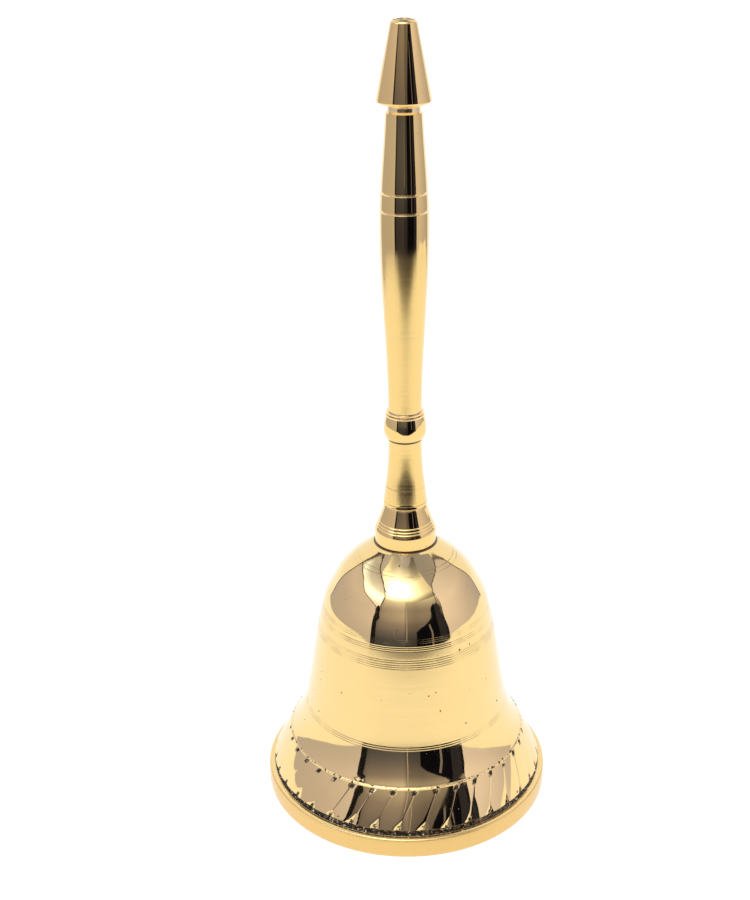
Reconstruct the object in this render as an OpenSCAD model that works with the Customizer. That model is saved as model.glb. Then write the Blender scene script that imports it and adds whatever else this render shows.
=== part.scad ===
// Hand bell of cast and turned brass. A cup with a slanted gadroon border is
// clamped under a turned handle in three sections, and a ball clapper hangs
// inside it on a ring. Millimetres, +Z up. The origin is the middle of the
// mouth, level with the rim that the bell stands on.

/* [Bell cup] */
// Diameter of the mouth, across the bead of the lip
mouth_d = 70; // [66:1:84]
// Height of the bead round the lip
lip_h = 5.2; // [3:0.1:8]
// Thickness of the lip at the mouth
lip_wall = 3.6; // [3.2:0.1:5]
// Rounding of the bead's two edges
bead_round = 0.9; // [0.3:0.1:1.4]
// Height of the rough groove above the bead
groove_h = 1.1; // [0.5:0.1:2.5]
// Depth of that groove behind the bead
groove_depth = 1.9; // [1.6:0.1:2.4]
// Wall of the cup from the hip to the crown
cup_wall = 2.2; // [1.4:0.1:3.2]
// Height of the fine ridge above the gadroon border
ridge_h = 0.7; // [0.4:0.1:1.6]
// How far the ridge stands out of the border's top
ridge_out = 0.3; // [0.1:0.1:0.8]
// How far the flare starts behind the border's top
flare_drop = 0.4; // [0.1:0.1:1]
// Height of the flare, from the ridge to the hip
flare_h = 7.1; // [5:0.1:12]
// Diameter at the hip, where the flare turns into the skirt
hip_d = 50.6; // [46:0.1:54]
// Height of the skirt, from the hip to the shoulder
skirt_h = 27.9; // [20:0.1:40]
// Diameter at the shoulder
shoulder_d = 40.2; // [38:0.1:46]
// Height of the rounded shoulder
shoulder_h = 6.5; // [5:0.1:9]
// Diameter at the top of the rounded shoulder
crown_d = 34.2; // [32:0.1:37]
// Height of the crown above the shoulder
crown_h = 9.5; // [8:0.1:14]
// Thickness of the crown at the handle
crown_wall = 3.8; // [3:0.1:5]
// Diameter of the flat inside the crown that the washer bears on
crown_flat_d = 14; // [12:0.1:18]
// Direction of the outline where the flare leaves the ridge, in degrees from level
flare_dir = 126; // [115:1:135]
// Direction of the outline at the hip
hip_dir = 105; // [98:1:112]
// Direction of the outline at the shoulder
shoulder_dir = 104; // [98:1:112]
// Direction of the outline at the top of the rounded shoulder
crown_dir = 118; // [110:1:128]
// Direction of the outline where the crown meets the handle
seat_dir = 137; // [125:1:150]
// Direction of the inner wall at the mouth
mouth_dir = 114; // [108:1:120]

/* [Gadroon border] */
// Number of gadroons round the bell
gadroon_count = 36; // [24:1:48]
// Height of the border
band_h = 8.4; // [6:0.1:12]
// How far the foot of the border lies behind the bead
band_setback = 1.3; // [0.6:0.1:1.6]
// Diameter at the top of the border
band_top_d = 57.8; // [55:0.1:62]
// Lean of the gadroons, in degrees from upright
gadroon_lean = 25; // [0:1:35]
// Radius of the rounded face of one gadroon
gadroon_round = 6; // [5:0.1:9]
// Depth of the hollows between them at the foot of the border
gadroon_depth = 0.75; // [0.6:0.05:1]
// Length of the chamfered lower ends of the gadroons
gadroon_end = 0.9; // [0.3:0.1:1.5]

/* [Handle foot] */
// Diameter of the foot flange that sits on the crown
foot_d = 14.6; // [12:0.1:18]
// Height of the plain band of the flange
foot_band_h = 3.3; // [2:0.1:6]
// Height of the hollow cone above the band
foot_cone_h = 6.2; // [4:0.1:10]
// Diameter at the top of the cone
foot_neck_d = 10.1; // [9.5:0.1:11.5]
// Diameter of the small step between the cone and the stem
step_d = 10.5; // [9.8:0.1:12]
// Height of the small step
step_h = 0.7; // [0.4:0.1:1.4]
// Height of the stem
stem_h = 16.4; // [12:0.1:30]
// Diameter of the stem at its top
stem_d = 7.8; // [7:0.1:9.4]

/* [Handle grip] */
// Diameter of the ring, at its widest
ring_d = 9.95; // [9.6:0.05:13]
// Height of the barrel of the ring
ring_h = 5.6; // [4:0.1:9]
// Diameter at the two ends of the barrel
ring_end_d = 8.9; // [8.4:0.1:9.4]
// Height of each of the two fine fillets above the barrel
fillet_h = 0.38; // [0.3:0.02:0.8]
// Height of the cut above each fillet
fillet_gap = 0.27; // [0.2:0.01:0.5]
// Height of the grip's long taper, from the fillets to the belly
taper_h = 42.6; // [30:0.1:60]
// Diameter of the grip above the fillets
grip_low_d = 7.75; // [7:0.05:8.6]
// Diameter of the grip at the belly
belly_d = 10.94; // [9.4:0.02:13]
// Height of the grip from the belly to its lip
upper_h = 24.7; // [18:0.1:35]
// Diameter of the grip at its upper end
grip_top_d = 8.06; // [7.4:0.02:9.4]
// Height of the hollow neck under the finial
neck_h = 1.2; // [0.8:0.1:3]
// Depth of the hollow neck
neck_depth = 0.45; // [0.1:0.05:0.6]
// Depth of the two turned lines round the grip
line_depth = 0.3; // [0.1:0.05:0.5]
// Width of the turned lines
line_w = 0.7; // [0.4:0.1:1.2]
// Distance between the two turned lines
line_gap = 4; // [2:0.1:6]
// Distance from the belly up to the lower line
line_rise = 3.9; // [2:0.1:10]

/* [Finial] */
// Diameter of the finial at its foot
finial_d = 12; // [10.4:0.1:15]
// Height of the finial
finial_h = 17.8; // [12:0.1:28]
// Height of the cone that undercuts the finial
undercut_h = 1; // [0.6:0.1:2]
// Diameter of the finial at its tip
tip_d = 5.5; // [4.4:0.1:8]
// Rounding of the tip
tip_round = 0.9; // [0.4:0.1:1.6]

/* [Centre rod and fixings] */
// Diameter of the centre rod
rod_d = 4; // [3:0.1:4.6]
// Length of the rod inside the grip
rod_in_grip = 20; // [12:1:40]
// Thickness of the washer inside the crown
washer_t = 0.8; // [0.5:0.1:1.6]
// Diameter of the washer
washer_d = 9; // [8.4:0.1:11]
// Width of the nut across its flats
nut_flats = 7; // [6.4:0.1:9]
// Height of the nut
nut_h = 3.2; // [2:0.1:5]
// Length of rod that shows below the nut
rod_tail = 0.9; // [0.5:0.1:3]
// Diameter of the screw under the finial
finial_screw_d = 3; // [2:0.1:4]
// Length of the screw under the finial
finial_screw_h = 8; // [5:1:12]

/* [Clapper] */
// Diameter of the wire of the eye under the nut
eye_wire = 2.4; // [2:0.1:3]
// Inner diameter of the eye
eye_in_d = 6; // [5.6:0.1:9]
// Diameter of the wire of the hanger ring
ring_wire = 1.6; // [1.2:0.1:2]
// Inner diameter of the hanger ring
ring_in_d = 6.6; // [6.4:0.1:9]
// Diameter of the clapper's wire rod
wire_d = 2; // [1.6:0.1:2.4]
// Inner diameter of the loop at the top of the wire rod
loop_in_d = 4.6; // [4.4:0.1:7]
// Diameter of the ball
ball_d = 14; // [11:0.5:16]
// Height of the ball's centre above the mouth
ball_z = 12; // [10:0.5:16]
// Diameter of the wire where it passes through the ball
ball_pin_d = 1.6; // [1.2:0.1:2]
// Height of the wire's riveted head under the ball
rivet_h = 0.6; // [0.4:0.1:1]

/* [Fits] */
// Radial clearance of a screw thread drawn as a plain pin
thread_gap = 0.05; // [0.02:0.01:0.1]
// Radial clearance of the rod in its drilled holes
drill_gap = 0.15; // [0.1:0.05:0.3]
// Clearance between two wires that hang one in the other
hang_gap = 0.05; // [0.03:0.01:0.1]
// Width of the cut where a wire loop closes
wire_cut = 0.2; // [0.1:0.05:0.4]

/* [Hidden] */

BRASS = [0.85, 0.68, 0.34];
PALE_BRASS = [0.90, 0.76, 0.44];
STEEL = [0.66, 0.67, 0.68];
curve_steps = 12;
arc_steps = 5;
$fn = 96;

// Heights of the cup, one stacked on the other
groove_z = lip_h;
band_z = groove_z + groove_h;
ridge_z = band_z + band_h;
flare_z = ridge_z + ridge_h;
hip_z = flare_z + flare_h;
shoulder_z = hip_z + skirt_h;
crown_z = shoulder_z + shoulder_h;
seat_z = crown_z + crown_h;
inner_top_z = seat_z - crown_wall;

// Radii of the cup
mouth_r = mouth_d / 2;
groove_r = mouth_r - groove_depth;
band_low_r = mouth_r - band_setback;
band_top_r = band_top_d / 2;
seat_rim = 0.1;
mouth_round = 0.4;

// Slope of the gadroon border, and the step of its hollows at the top
band_tilt = atan2(band_low_r - band_top_r, band_h);
band_bulge = 4;
top_hollow = 0.12;
crest_out = gadroon_depth / 6;
run_out = 3.5;

// Heights of the handle
step_z = seat_z + foot_band_h + foot_cone_h;
stem_z = step_z + step_h;
grip_z = stem_z + stem_h;
fillet_z = grip_z + ring_h;
taper_z = fillet_z + 2 * (fillet_h + fillet_gap);
belly_z = taper_z + taper_h;
lip_z = belly_z + upper_h;
finial_z = lip_z + neck_h;
tip_z = finial_z + finial_h;
neck_r = grip_top_d / 2 - neck_depth;

// Small edges and steps of the turned outline
foot_round = 0.45;
step_cut = 0.15;
ring_foot_h = 0.2;
ring_belly = 0.46;
fillet_step = 0.1;
fillet_round = 0.06;
grip_rim = 0.12;
finial_edge_h = 0.4;
finial_edge_r = 0.15;
tip_edge_r = 0.15;

// Directions of the handle's curves, in degrees from level
cone_low_dir = 116;
cone_top_dir = 95;
stem_low_dir = 108;
stem_top_dir = 91;
ring_low_dir = 70;
ring_top_dir = 105;
grip_low_dir = 90;
grip_top_dir = 93;
undercut_dir = 50;
tip_dir = 175;

// Heights of the fixings and of the hanging parts
washer_z = inner_top_z - washer_t;
nut_z = washer_z - nut_h;
eye_r = (eye_in_d + eye_wire) / 2;
eye_z = nut_z - rod_tail - eye_r - eye_wire / 2;
hanger_r = (ring_in_d + ring_wire) / 2;
hanger_top_z = eye_z - eye_r + (eye_wire + ring_wire) / 2 + hang_gap;
hanger_z = hanger_top_z - hanger_r;
pivot_z = hanger_z - hanger_r;
loop_r = (loop_in_d + wire_d) / 2;
loop_z = pivot_z + (ring_wire + wire_d) / 2 + hang_gap - loop_r;
drill_point_h = 1.2;
end_gap = 1.5;
nut_chamfer = 0.5;
cut_margin = 1;

// Places of the cuts where the wires close, in degrees round their loops
eye_cut_angle = -55;
ring_cut_angle = 0;
loop_cut_angle = 50;

// Seats of the riveted wire on the ball
ball_flat_r = 1.6;
ball_flat_z = sqrt(pow(ball_d / 2, 2) - pow(ball_flat_r, 2));
rivet_rim = 0.2;

// Outline stations: radius, height and direction
flare_top = [band_top_r - flare_drop, flare_z, flare_dir];
hip = [hip_d / 2, hip_z, hip_dir];
shoulder = [shoulder_d / 2, shoulder_z, shoulder_dir];
crown = [crown_d / 2, crown_z, crown_dir];
seat = [foot_d / 2 + seat_rim, seat_z, seat_dir];
mouth_in = [mouth_r - lip_wall, mouth_round, mouth_dir];
crown_in = [crown_flat_d / 2, inner_top_z, seat_dir];
band_low = [band_low_r - gadroon_depth, band_z, 90 + band_tilt - band_bulge];
band_top = [band_top_r - top_hollow, ridge_z, 90 + band_tilt + band_bulge];

function unit(angle) = [cos(angle), sin(angle)];

// One point of the smooth curve between two stations
function curve_point(a, b, t) =
    let (p = [a[0], a[1]], s = [b[0], b[1]], pull = norm(s - p) / 3)
    let (q = p + pull * unit(a[2]), u = s - pull * unit(b[2]))
    pow(1 - t, 3) * p + 3 * t * pow(1 - t, 2) * q + 3 * t * t * (1 - t) * u + t * t * t * s;

// The smooth curve through a list of stations
function curve(stations) = [
    for (k = [0 : len(stations) - 2])
        for (i = [(k == 0 ? 0 : 1) : curve_steps])
            curve_point(stations[k], stations[k + 1], i / curve_steps)
];

// The station that lies one wall inside another
function inside(station, wall) = [
    station[0] - wall * sin(station[2]),
    station[1] + wall * cos(station[2]),
    station[2]
];

function reversed(list) = [for (i = [len(list) - 1 : -1 : 0]) list[i]];

function arc(centre, radius, from, to) = [
    for (i = [0 : arc_steps]) centre + radius * unit(from + (to - from) * i / arc_steps)
];

// Half section of the cup, from the lip round the outside and back inside
function cup_section() = concat(
    arc([mouth_r - bead_round, bead_round], bead_round, -90, 0),
    arc([mouth_r - bead_round, lip_h - bead_round], bead_round, 0, 90),
    [[groove_r, groove_z], [groove_r, band_z]],
    curve([band_low, band_top]),
    [[band_top_r + ridge_out, ridge_z + ridge_h / 4]],
    [[band_top_r + ridge_out, ridge_z + ridge_h / 2]],
    curve([flare_top, hip, shoulder, crown, seat]),
    [[0, seat_z], [0, inner_top_z]],
    reversed(curve([mouth_in, inside(hip, cup_wall), inside(shoulder, cup_wall),
        inside(crown, cup_wall), crown_in])),
    [[mouth_r - lip_wall + mouth_round, 0]]
);

// Half section of the ring that the gadroons are cut out of
function border_section() = [
    [band_low[0] - gadroon_depth, band_z],
    [band_low_r - gadroon_end, band_z],
    [band_low_r + gadroon_depth, band_z + gadroon_end + gadroon_depth],
    [band_top_r + gadroon_depth, ridge_z + ridge_h / 3],
    [band_top_r - gadroon_depth, ridge_z + ridge_h / 3]
];

// Rounded bars that lean round the cup, side by side
module gadroon_bars() {
    bar_h = band_h / cos(band_tilt) / cos(gadroon_lean);
    middle = [(band_low_r + band_top_r) / 2, (band_z + ridge_z) / 2];
    axis = middle - (gadroon_round - crest_out) * unit(band_tilt);
    for (i = [0 : gadroon_count - 1])
        rotate([0, 0, 360 * i / gadroon_count])
            translate([axis[0], 0, axis[1]])
                rotate([-gadroon_lean, -band_tilt, 0])
                    cylinder(r = gadroon_round, h = bar_h + 2 * run_out, center = true);
}

// A hole for the centre rod, right through from one height to another
module rod_hole(from, to, gap) {
    translate([0, 0, from - cut_margin])
        cylinder(r = rod_d / 2 + gap, h = to - from + 2 * cut_margin);
}

module bell_cup() {
    color(BRASS)
        difference() {
            union() {
                rotate_extrude() polygon(cup_section());
                intersection() {
                    rotate_extrude() polygon(border_section());
                    gadroon_bars();
                }
            }
            rod_hole(inner_top_z, seat_z, drill_gap);
        }
}

module handle_foot() {
    foot_r = foot_d / 2;
    cone_top_r = foot_neck_d / 2;
    section = concat(
        [[0, seat_z], [foot_r - foot_round, seat_z], [foot_r, seat_z + foot_round]],
        curve([[foot_r, seat_z + foot_band_h, cone_low_dir], [cone_top_r, step_z, cone_top_dir]]),
        [[cone_top_r - step_cut, step_z + step_h / 3], [step_d / 2, step_z + step_h * 2 / 3]],
        curve([[step_d / 2, stem_z, stem_low_dir], [stem_d / 2, grip_z, stem_top_dir]]),
        [[0, grip_z]]
    );
    color(BRASS)
        difference() {
            rotate_extrude() polygon(section);
            rod_hole(seat_z, grip_z, drill_gap);
        }
}

// Outline of the grip from its taper to the shoulder under the finial
function grip_curve() = curve([
    [grip_low_d / 2, taper_z + grip_rim, grip_low_dir],
    [belly_d / 2, belly_z, 90],
    [grip_top_d / 2, lip_z, grip_top_dir]
]);

// Radius of the grip at a height
function grip_radius(height) = lookup(height, [for (point = grip_curve()) [point[1], point[0]]]);

// A ring whose edge cuts one turned line into the grip
module turned_line(height) {
    floor_r = grip_radius(height) - line_depth;
    rim_r = floor_r + 2 * line_depth;
    rotate_extrude()
        polygon([[floor_r, height], [rim_r, height - line_w], [rim_r, height + line_w]]);
}

// The two edges of one fine fillet
function fillet(radius, height) = [
    [radius, height + fillet_round],
    [radius, height + fillet_h - fillet_round]
];

// Section of the ring: a barrel with two fine fillets above it
function ring_section() =
    let (end_r = ring_end_d / 2, low_r = grip_low_d / 2, upper_z = fillet_z + fillet_h + fillet_gap)
    concat(
        [[stem_d / 2 + ring_foot_h, grip_z]],
        curve([[end_r, grip_z + ring_foot_h, ring_low_dir],
            [ring_d / 2, grip_z + ring_h * ring_belly, 90], [end_r, fillet_z, ring_top_dir]]),
        fillet(end_r + fillet_step, fillet_z),
        [[low_r, fillet_z + fillet_h], [low_r, upper_z]],
        fillet(end_r - fillet_step, upper_z),
        [[low_r, upper_z + fillet_h], [low_r, taper_z]],
        [[low_r + grip_rim, taper_z]]
    );

// A blind hole for a screw, with the point that its drill leaves
module drilled_hole(radius, depth) {
    cylinder(r = radius, h = depth);
    translate([0, 0, depth]) cylinder(r1 = radius, r2 = 0, h = drill_point_h);
}

module handle_grip() {
    neck_round = neck_depth / 2;
    section = concat(
        [[0, grip_z]],
        ring_section(),
        grip_curve(),
        [[grip_top_d / 2 - neck_round, lip_z + neck_round], [neck_r, lip_z + neck_depth]],
        [[neck_r, finial_z], [0, finial_z]]
    );
    color(PALE_BRASS)
        difference() {
            rotate_extrude() polygon(section);
            for (rise = [0, line_gap]) turned_line(belly_z + line_rise + rise);
            translate([0, 0, grip_z])
                drilled_hole(rod_d / 2 + thread_gap, rod_in_grip + end_gap);
            translate([0, 0, finial_z])
                rotate([180, 0, 0])
                    drilled_hole(finial_screw_d / 2 + thread_gap, finial_screw_h + end_gap);
        }
}

module finial() {
    foot_r = finial_d / 2;
    tip_r = tip_d / 2;
    cone_dir = 90 + atan2(foot_r - tip_r, finial_h - undercut_h);
    section = concat(
        [[0, finial_z], [neck_r + fillet_step, finial_z]],
        curve([[foot_r - finial_edge_r, finial_z + undercut_h, undercut_dir],
            [foot_r, finial_z + undercut_h + finial_edge_h, cone_dir]]),
        curve([[tip_r + tip_edge_r, tip_z - tip_round, cone_dir], [tip_r - tip_round, tip_z, tip_dir]]),
        [[0, tip_z]]
    );
    color(BRASS)
        union() {
            rotate_extrude() polygon(section);
            translate([0, 0, finial_z - finial_screw_h])
                cylinder(d = finial_screw_d, h = finial_screw_h + undercut_h);
        }
}

// A ring of round wire that stands upright, its axis along Y
module wire_ring(radius, wire) {
    rotate([90, 0, 0]) rotate_extrude() translate([radius, 0]) circle(d = wire);
}

// The thin cut where the end of a bent wire meets the wire again
module wire_slit(radius, wire, angle) {
    rotate([0, angle, 0]) translate([radius, 0, 0]) cube([2 * wire, 2 * wire, wire_cut], center = true);
}

module eye_rod() {
    rod_foot_z = nut_z - rod_tail;
    color(STEEL)
        union() {
            difference() {
                translate([0, 0, eye_z]) wire_ring(eye_r, eye_wire);
                translate([0, 0, eye_z]) wire_slit(eye_r, eye_wire, eye_cut_angle);
            }
            translate([0, 0, rod_foot_z - eye_wire / 2])
                cylinder(d1 = eye_wire, d2 = rod_d, h = eye_wire / 2);
            translate([0, 0, rod_foot_z])
                cylinder(d = rod_d, h = grip_z + rod_in_grip - rod_foot_z);
        }
}

module crown_washer() {
    color(STEEL)
        difference() {
            translate([0, 0, washer_z]) cylinder(d = washer_d, h = washer_t);
            rod_hole(washer_z, inner_top_z, drill_gap);
        }
}

module crown_nut() {
    corner_r = nut_flats / 2 / cos(30);
    color(STEEL)
        difference() {
            intersection() {
                translate([0, 0, nut_z]) cylinder(r = corner_r, h = nut_h, $fn = 6);
                translate([0, 0, nut_z])
                    rotate_extrude()
                        polygon([[0, 0], [corner_r - nut_chamfer, 0], [corner_r + nut_chamfer, nut_chamfer],
                            [corner_r + nut_chamfer, nut_h - nut_chamfer],
                            [corner_r - nut_chamfer, nut_h], [0, nut_h]]);
            }
            rod_hole(nut_z, washer_z, thread_gap);
        }
}

module hanger_ring() {
    color(STEEL)
        translate([0, 0, hanger_z])
            rotate([0, 0, 90])
                difference() {
                    wire_ring(hanger_r, ring_wire);
                    wire_slit(hanger_r, ring_wire, ring_cut_angle);
                }
}

module clapper_rod() {
    loop_foot_z = loop_z - loop_r;
    color(STEEL)
        union() {
            translate([0, 0, loop_z])
                difference() {
                    wire_ring(loop_r, wire_d);
                    wire_slit(loop_r, wire_d, loop_cut_angle);
                }
            translate([0, 0, ball_z + ball_flat_z])
                cylinder(d = wire_d, h = loop_foot_z - ball_z - ball_flat_z);
            translate([0, 0, ball_z - ball_flat_z - rivet_h / 2])
                cylinder(d = ball_pin_d, h = 2 * ball_flat_z + rivet_h);
            translate([0, 0, ball_z - ball_flat_z - rivet_h])
                cylinder(r1 = ball_flat_r - rivet_h, r2 = ball_flat_r - rivet_rim, h = rivet_h);
        }
}

module clapper_ball() {
    color(PALE_BRASS)
        translate([0, 0, ball_z])
            difference() {
                intersection() {
                    sphere(d = ball_d);
                    cylinder(d = 2 * ball_d, h = 2 * ball_flat_z, center = true);
                }
                cylinder(d = ball_pin_d + 2 * thread_gap, h = 2 * ball_d, center = true);
            }
}

bell_cup();
handle_foot();
handle_grip();
finial();
eye_rod();
crown_washer();
crown_nut();
hanger_ring();
clapper_rod();
clapper_ball();
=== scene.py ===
"""Dress of a turned brass hand bell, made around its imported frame.

The cup, the three sections of the handle and the ball of the clapper are turned
again here as smooth meshes with their tool lines and gadroons. The wires and the
fixings inside keep their own solids and get a finish. Lengths are in metres,
written as millimetres times MM, and angles are in degrees unless a line says else.
"""

import logging
import math
from collections.abc import Iterable
from dataclasses import dataclass, field, fields
from enum import Enum
from types import SimpleNamespace
from typing import ClassVar

import bmesh
import bpy
from mathutils import Matrix, Vector


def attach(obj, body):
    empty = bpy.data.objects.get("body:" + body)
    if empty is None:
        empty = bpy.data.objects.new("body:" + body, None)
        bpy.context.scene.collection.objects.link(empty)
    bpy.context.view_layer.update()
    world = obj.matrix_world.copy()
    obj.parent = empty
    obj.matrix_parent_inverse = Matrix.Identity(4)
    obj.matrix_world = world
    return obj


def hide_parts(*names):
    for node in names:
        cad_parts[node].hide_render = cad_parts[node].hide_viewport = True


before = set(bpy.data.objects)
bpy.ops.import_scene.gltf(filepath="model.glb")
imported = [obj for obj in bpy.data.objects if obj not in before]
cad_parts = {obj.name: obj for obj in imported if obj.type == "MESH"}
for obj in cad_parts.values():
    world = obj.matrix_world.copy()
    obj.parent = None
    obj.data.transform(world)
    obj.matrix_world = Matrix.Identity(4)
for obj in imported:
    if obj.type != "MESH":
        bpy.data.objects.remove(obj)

MM = 0.001
WELD = 0.0005 * MM
SLIVER = 0.0001 * MM
SHARP_ANGLE = 38
NOISE_MIDDLE = 0.5
LOWEST = -45
HIGHEST = 90
LOG = logging.getLogger("hand_bell")

Colour = tuple[float, float, float]
Span = tuple[float, float]
Edge = tuple[float, float, float]
Course = tuple[tuple[float, float], ...]


@dataclass(frozen=True)
class Station:
    """A point of a turned outline, with the direction of the outline in degrees from level."""

    radius: float
    height: float
    direction: float

    def place(self) -> Vector:
        """Returns the point as radius and height."""
        return Vector((self.radius, self.height))

    def heading(self) -> Vector:
        """Returns the unit direction of the outline."""
        angle = math.radians(self.direction)
        return Vector((math.cos(angle), math.sin(angle)))

    def inside(self, wall: float) -> "Station":
        """Returns the station that lies one wall inside this one."""
        side = self.heading()
        return Station(self.radius - wall * side.y, self.height + wall * side.x, self.direction)


def smooth_curve(stations: list[Station], steps: int) -> list[Vector]:
    """Draws the smooth curve through a list of stations.

    Args:
        stations: The stations, in order.
        steps: Number of steps between two stations.

    Returns:
        The points as radius and height.
    """
    points = [stations[0].place()]
    for start, end in zip(stations, stations[1:]):
        a, d = start.place(), end.place()
        pull = (d - a).length / 3
        b, c = a + pull * start.heading(), d - pull * end.heading()
        for i in range(1, steps + 1):
            t = i / steps
            s = 1 - t
            points.append(s**3 * a + 3 * s * s * t * b + 3 * s * t * t * c + t**3 * d)
    return points


@dataclass(frozen=True)
class ToolLine:
    """A fine line that the lathe tool leaves round a piece."""

    height: float
    depth: float = 0.035 * MM
    width: float = 0.3 * MM

    def cut(self, points: list[Vector]) -> list[Vector]:
        """Cuts the line into the first stretch of an outline that rises through its height.

        Args:
            points: The points of the outline.

        Returns:
            The outline with up to five more points.
        """
        low, high = self.height - self.width / 2, self.height + self.width / 2
        start = next(i for i in range(len(points) - 1) if points[i].y <= low < points[i + 1].y)
        end = next(i for i in range(start, len(points)) if points[i].y > high)
        a, b = points[start], points[end]

        def on_wall(height: float) -> Vector:
            """Returns the point of the uncut wall at a height."""
            return a + (b - a) * (height - a.y) / (b.y - a.y)

        floor = on_wall(self.height) - Vector((self.depth, 0))
        groove = [on_wall(low - self.width / 4), on_wall(low), floor,
                  on_wall(high), on_wall(high + self.width / 4)]
        return points[: start + 1] + [p for p in groove if a.y < p.y < b.y] + points[end:]


@dataclass
class Outline:
    """Half section of a turned piece, drawn as radius and height from one end to the other."""

    most_cut: ClassVar[float] = 0.45

    points: list[Vector] = field(default_factory=list)
    roundings: list[float] = field(default_factory=list)

    def corner(self, radius: float, height: float, rounding: float = 0.0) -> None:
        """Adds one corner.

        Args:
            radius: Radius of the corner.
            height: Height of the corner.
            rounding: Length that is taken off each side to round it.
        """
        self.points.append(Vector((radius, height)))
        self.roundings.append(rounding)

    def follow(self, points: list[Vector]) -> None:
        """Adds the points of a curve."""
        self.points += points
        self.roundings += [0.0] * len(points)

    def rounded(self, steps: int, lines: Iterable[ToolLine] = ()) -> list[Vector]:
        """Rounds the corners and cuts the tool lines.

        Args:
            steps: Number of steps in each rounding.
            lines: The tool lines.

        Returns:
            The points of the finished outline.
        """
        result = []
        last = len(self.points) - 1
        for i, (point, rounding) in enumerate(zip(self.points, self.roundings)):
            if rounding == 0 or i in (0, last):
                result.append(point)
                continue
            before, after = self.points[i - 1] - point, self.points[i + 1] - point
            cut = min(rounding, self.most_cut * before.length, self.most_cut * after.length)
            start, end = point + cut * before.normalized(), point + cut * after.normalized()
            for k in range(steps + 1):
                t = k / steps
                result.append((1 - t) ** 2 * start + 2 * t * (1 - t) * point + t * t * end)
        for line in lines:
            result = line.cut(result)
        return result


class Wire:
    """An output in a node tree. Python's operators on it add Math nodes to the tree."""

    def __init__(self, wires: "Wiring", socket: bpy.types.NodeSocket) -> None:
        """Keeps the wiring of the tree and the socket that the wire starts from."""
        self.wires = wires
        self.socket = socket

    def __add__(self, other: object) -> "Wire":
        """Returns the sum."""
        return self.wires.math("ADD", self, other)

    def __sub__(self, other: object) -> "Wire":
        """Returns the difference."""
        return self.wires.math("SUBTRACT", self, other)

    def __rsub__(self, other: float) -> "Wire":
        """Returns the difference from a plain number."""
        return self.wires.math("SUBTRACT", other, self)

    def __mul__(self, other: object) -> "Wire":
        """Returns the product."""
        return self.wires.math("MULTIPLY", self, other)

    def __truediv__(self, other: object) -> "Wire":
        """Returns the quotient."""
        return self.wires.math("DIVIDE", self, other)

    def __rtruediv__(self, other: float) -> "Wire":
        """Returns the quotient of a plain number by the wire."""
        return self.wires.math("DIVIDE", other, self)

    def __pow__(self, other: object) -> "Wire":
        """Returns the power."""
        return self.wires.math("POWER", self, other)

    def __lt__(self, other: object) -> "Wire":
        """Returns 1 where the wire is below the other value, and 0 elsewhere."""
        return self.wires.math("LESS_THAN", self, other)

    def __gt__(self, other: object) -> "Wire":
        """Returns 1 where the wire is above the other value, and 0 elsewhere."""
        return self.wires.math("GREATER_THAN", self, other)

    def at_least(self, other: object) -> "Wire":
        """Returns the larger of the two."""
        return self.wires.math("MAXIMUM", self, other)

    def at_most(self, other: object) -> "Wire":
        """Returns the smaller of the two."""
        return self.wires.math("MINIMUM", self, other)

    def clamped(self) -> "Wire":
        """Holds the result of the wire's Math node between 0 and 1, and returns the wire."""
        self.socket.node.use_clamp = True
        return self


class Wiring:
    """Adds nodes to a node tree and links them, so that a recipe reads from top to bottom."""

    def __init__(self, tree: bpy.types.NodeTree) -> None:
        """Keeps the tree."""
        self.tree = tree

    def feed(self, socket: bpy.types.NodeSocket, value: object) -> None:
        """Links an input to a wire, or sets its value.

        Args:
            socket: The input.
            value: A wire, a number, a vector or a colour.
        """
        if isinstance(value, Wire):
            self.tree.links.new(value.socket, socket)
        elif isinstance(value, tuple) and socket.type == "RGBA":
            socket.default_value = (*value, 1.0)
        else:
            socket.default_value = value

    def node(self, kind: str, inputs: dict | None = None, **settings: object) -> bpy.types.Node:
        """Adds one node.

        Args:
            kind: Blender's name of the node type.
            inputs: Values or wires for its inputs, by name or number.
            settings: Other properties of the node.

        Returns:
            The node.
        """
        made = self.tree.nodes.new(kind)
        for name, value in settings.items():
            setattr(made, name, value)
        for key, value in (inputs or {}).items():
            self.feed(made.inputs[key], value)
        return made

    def out(self, kind: str, inputs: dict | None = None, output: int | str = 0, **settings: object) -> Wire:
        """Adds one node and returns one of its outputs."""
        return Wire(self, self.node(kind, inputs, **settings).outputs[output])

    def outs(self, kind: str, inputs: dict | None = None) -> dict[str, Wire]:
        """Adds one node and returns its outputs by name."""
        return {socket.name: Wire(self, socket) for socket in self.node(kind, inputs).outputs}

    def math(self, operation: str, *values: object) -> Wire:
        """Adds a Math node."""
        return self.out("ShaderNodeMath", dict(enumerate(values)), operation=operation)

    def ease(self, value: object, low: float, high: float, start: float = 0.0, end: float = 1.0) -> Wire:
        """Maps a value smoothly from low to high on to start to end."""
        inputs = {"Value": value, "From Min": low, "From Max": high, "To Min": start, "To Max": end}
        return self.out("ShaderNodeMapRange", inputs, "Result", interpolation_type="SMOOTHSTEP")

    def blend(self, factor: object, a: object, b: object) -> Wire:
        """Mixes two colours, which are the Mix node's inputs 6 and 7."""
        return self.out("ShaderNodeMix", {0: factor, 6: a, 7: b}, 2, data_type="RGBA", clamp_factor=True)

    def mix(self, factor: object, a: object, b: object) -> Wire:
        """Mixes two numbers, which are the Mix node's inputs 2 and 3."""
        return self.out("ShaderNodeMix", {0: factor, 2: a, 3: b}, data_type="FLOAT")


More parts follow.
